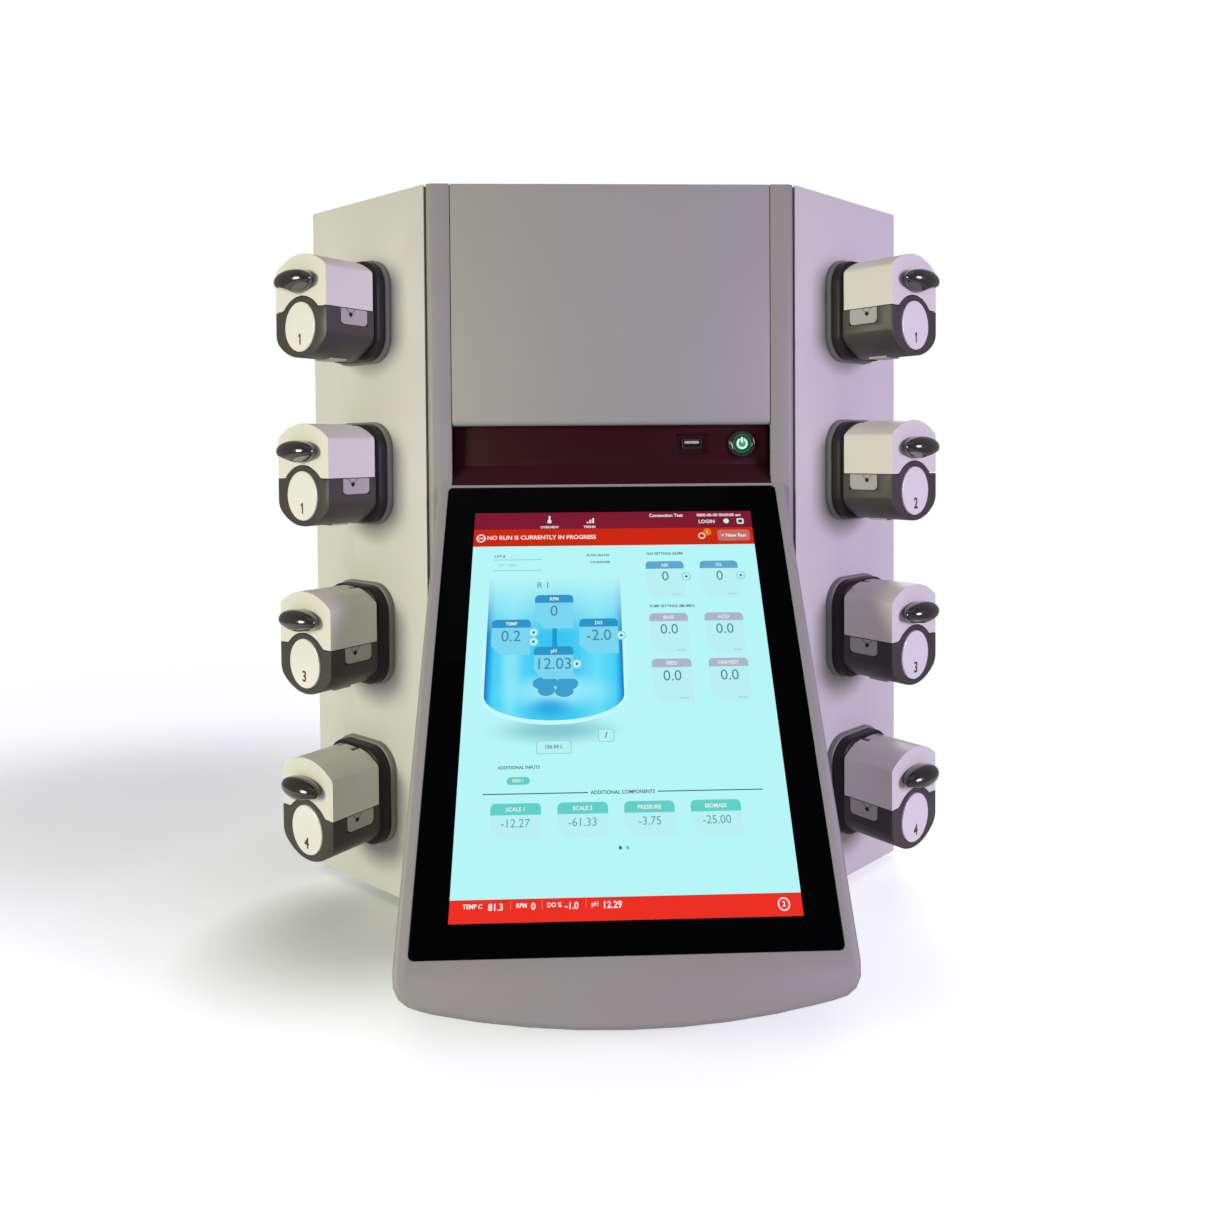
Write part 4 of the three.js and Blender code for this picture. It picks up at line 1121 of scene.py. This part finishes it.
# %% [markdown]
# ## Port, button and inlet details
#
# The power symbol and the ring round it are lit from behind. The port has its thin tongue with four
# contacts, and the mains inlet its three flat pins, inside the openings that the CAD solids leave. At
# the back of the groove on each side of the bezel lies a dark sheet, the cover's inner flange with the
# groove's shade painted on it.

# %% Lit symbol, tongue and pins
CAP_BACK = 6.2
BUTTON = Vector((90.6, FRONT + CAP_BACK, 326.8))
GLOW["power"] = glowing("power_light", (0.78, 1.0, 0.86), 1.15)[0]
GLOW["halo"] = glowing("power_halo", (0.12, 0.42, 0.25), 0.7)[0]


def glow_material():
    """Green light that fades from the symbol to the edge of the cap."""
    material, tree, shader = glowing("power_glow", (0.05, 0.5, 0.2), 1.0)
    away = {0: object_place(tree), 1: BUTTON * MM}
    away = add_node(tree, "VectorMath", away, operation="DISTANCE")
    fade = add_node(tree, "MapRange", {
        "Value": away.outputs["Value"], "From Min": 2.2 * MM, "From Max": 5.6 * MM,
        "To Min": 0.8, "To Max": 0.04,
    })
    feed(shader, {"Emission Strength": fade.outputs["Result"]})
    return material


GLOW["glow"] = glow_material()


def power_light():
    """The power symbol, the ring round it and the glow between them, thin shapes on the cap."""
    ring = combine(bar("ring", 6.3, 0, 0.12), bar("inner", 5.9, -1, 1), "DIFFERENCE")
    glow = bar("glow", 5.6, 0, 0.06)
    arc = combine(bar("arc", 3.8, 0, 0.15), bar("inner", 2.6, -1, 1), "DIFFERENCE")
    combine(arc, block("gap", (-1.2, -2, 0), (1.2, 2, 6)), "DIFFERENCE")
    symbol = join_pieces("symbol", [arc, block("stroke", (-0.6, -0.15, 0.6), (0.6, 0, 4.4))])
    lights = (("power_symbol", symbol, "power"), ("power_halo", ring, "halo"), ("power_glow", glow, "glow"))
    for name, light, color in lights:
        clean(set_down(light, BUTTON - Vector((0, 0.02, 0))))
        paint(light, GLOW[color])
        light.name = name
    return [light for name, light, color in lights]


for light in power_light():
    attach(light, "power_button")
tongue = tidy(block("usb_tongue", (50.9, FRONT + 11, 327.0), (61.1, FRONT + 21.5, 328.8)), "clamp_plastic")
contacts = [
    tidy(block("contact", (x, FRONT + 11.6, 326.9), (x + 1.1, FRONT + 18, 327.05)), "plated_steel")
    for x in (51.7, 54.1, 56.7, 59.1)
]
for piece in (tongue, join_pieces("usb_contacts", contacts)):
    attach(piece, "station")
# the cover's inner flange, painted dark with the shade that falls in the groove
for label, sign in (("left", -1), ("right", 1)):
    x0, x1 = sorted((sign * (COVER_X - 0.98), sign * (COVER_X - 0.02)))
    flange = tidy(block(f"{label}_flange", (x0, FRONT + 2.9, 6), (x1, FRONT + 9, TOP - 1.2)), "painted_groove_shade")
    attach(flange, "station")
pins = [
    tidy(block("pin", (x - 1, FRONT + 231, z - 2), (x + 1, FRONT + 248, z + 2)), "plated_steel")
    for x, z in ((-157, 59), (-150, 61.5), (-143, 59))
]
pins = join_pieces("inlet_pins", pins)
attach(pins, "station")
print("details set")

# %% [markdown]
# ## Studio
#
# The station stands on a plain pale floor that fades into a white background. Soft lamps light it,
# a warm one from the left and a faintly violet one from the right, so each angled cover takes a
# tint while the front stays grey. Fainter ones stand above and behind. The floor's own material
# holds a painted soft shadow beside the cabinet, and a tint painted against the lamps' colours.

# %% Floor, background and lamps
FLOOR_GLOW = 0.54
# painted shadow on the floor: where each soft oval lies, how far it reaches, and how deep it darkens
FLOOR_SHADES = (
    ((-0.42, 0.16, 0), (0.56, 0.35, 1), 0.75),
    ((-0.17, -0.04, 0), (0.17, 0.125, 1), 1.0),
    ((-0.04, -0.05, 0), (0.21, 0.13, 1), 0.9),
)
# painted against the lamps' colours: bluer on the left, under the warm lamp, and greener on the right, under
# the violet one
FLOOR_TINTS = ((0.87, 0.87, 0.97, 1), (0.92, 0.96, 0.87, 1))


def floor_glow(tree):
    """The floor's own light, which only the camera sees, less what its soft shades take away."""
    shade = None
    for centre, reach, strength in FLOOR_SHADES:
        weight = soft_spot(tree, centre, [1 / part for part in reach], strength)
        if shade:
            weight = add_node(tree, "Math", {0: shade, 1: weight}, operation="MAXIMUM").outputs[0]
        shade = weight
    level = add_node(tree, "MapRange", {"Value": shade, "To Min": FLOOR_GLOW, "To Max": 0.0})
    seen = add_node(tree, "LightPath").outputs["Is Camera Ray"]
    seen = {0: seen, 1: level.outputs["Result"]}
    return add_node(tree, "Math", seen, operation="MULTIPLY").outputs[0]


def floor_material():
    """A pale floor that changes its tint from left to right and fades out in a wide circle."""
    material, tree, shader = new_material("studio_floor", {"Roughness": 0.9, "Specular IOR Level": 0.0})
    place = object_place(tree)
    side = add_node(tree, "SeparateXYZ", {0: place}).outputs["X"]
    across = add_node(tree, "MapRange", {"Value": side, "From Min": -0.4, "From Max": 0.4})
    tint = blend(tree, across.outputs["Result"], *FLOOR_TINTS)
    feed(shader, {"Base Color": tint, "Emission Color": tint, "Emission Strength": floor_glow(tree)})
    away = add_node(tree, "VectorMath", {0: place, 1: (-0.28, -0.05, 0)}, operation="DISTANCE")
    fade = {"Value": away.outputs["Value"], "From Min": 0.42, "From Max": 0.92}
    fade = add_node(tree, "MapRange", fade).outputs["Result"]
    clear = add_node(tree, "BsdfTransparent").outputs[0]
    mix = add_node(tree, "MixShader", {0: fade, 1: shader.outputs[0], 2: clear})
    feed(tree.nodes["Material Output"], {"Surface": mix.outputs[0]})
    return material


def studio_floor():
    select_none()
    below = (0, 0, -0.2 * MM)
    bpy.ops.mesh.primitive_circle_add(vertices=96, radius=3.0, fill_type="NGON", location=below)
    floor = bpy.context.object
    floor.name = "studio_floor"
    floor.data.materials.append(floor_material())


def background():
    """White to the camera, a soft grey light to everything else."""
    world = bpy.data.worlds.new("studio")
    world.use_nodes = True
    tree = world.node_tree
    soft = feed(tree.nodes["Background"], {"Color": (0.80, 0.80, 0.82, 1), "Strength": 0.25})
    white = add_node(tree, "Background", {"Color": (1, 1, 1, 1)})
    seen = add_node(tree, "LightPath").outputs["Is Camera Ray"]
    mix = add_node(tree, "MixShader", {0: seen, 1: soft.outputs[0], 2: white.outputs[0]})
    feed(tree.nodes["World Output"], {"Surface": mix.outputs[0]})
    bpy.context.scene.world = world


def lamp(name, place, aim, size, power, color):
    """A square soft lamp that faces a point."""
    light = bpy.data.lights.new(name, "AREA")
    light.size = size
    light.energy = power
    light.color = color
    holder = bpy.data.objects.new(name, light)
    bpy.context.scene.collection.objects.link(holder)
    holder.location = place
    holder.rotation_euler = (Vector(aim) - Vector(place)).to_track_quat("-Z", "Y").to_euler()


studio_floor()
background()
for name, place, aim, size, power, color in (
    ("left_lamp", (-1.25, -0.87, 0.50), (-0.1, 0, 0.25), 0.45, 15.2, (1.0, 1.0, 0.75)),
    ("right_lamp", (1.25, -0.87, 0.50), (0.1, 0, 0.25), 0.45, 16.4, (0.80, 0.66, 1.0)),
    ("top_lamp", (0.0, -0.3, 1.9), (0, 0, 0.3), 1.4, 2.0, (0.97, 1.0, 0.97)),
    ("rear_lamp", (0.5, 1.9, 1.1), (0, 0.1, 0.25), 1.0, 16, (1.0, 1.0, 1.0)),
):
    lamp(name, place, aim, size, power, color)
bpy.context.scene.view_settings.view_transform = "Standard"
print("floor, background and lamps set")

# %% [markdown]
# ## Camera
#
# The camera stands a little left of the middle, level with the power button, and looks straight
# ahead. A vertical shift brings the lip of the screen into the picture without tilting the cabinet.

# %% Camera
CAMERA = Vector((-23.89, -610.68 + FRONT, 323.82)) * MM
FORWARD = Vector((0.03309, 0.99922, -0.02135)).normalized()
UP = Vector((0.00767, 0.02110, 0.99975))
LENS = 26.457
SENSOR = 36.0
SHIFT = -0.1147


def camera():
    data = bpy.data.cameras.new("view")
    data.sensor_width = SENSOR
    data.lens = LENS
    data.shift_y = SHIFT
    holder = bpy.data.objects.new("view", data)
    bpy.context.scene.collection.objects.link(holder)
    right = FORWARD.cross(UP).normalized()
    up = right.cross(FORWARD)
    turn = Matrix((right, up, -FORWARD)).transposed().to_4x4()
    holder.matrix_world = Matrix.Translation(CAMERA) @ turn
    bpy.context.scene.camera = holder


camera()
print("camera at", [round(v, 3) for v in CAMERA])
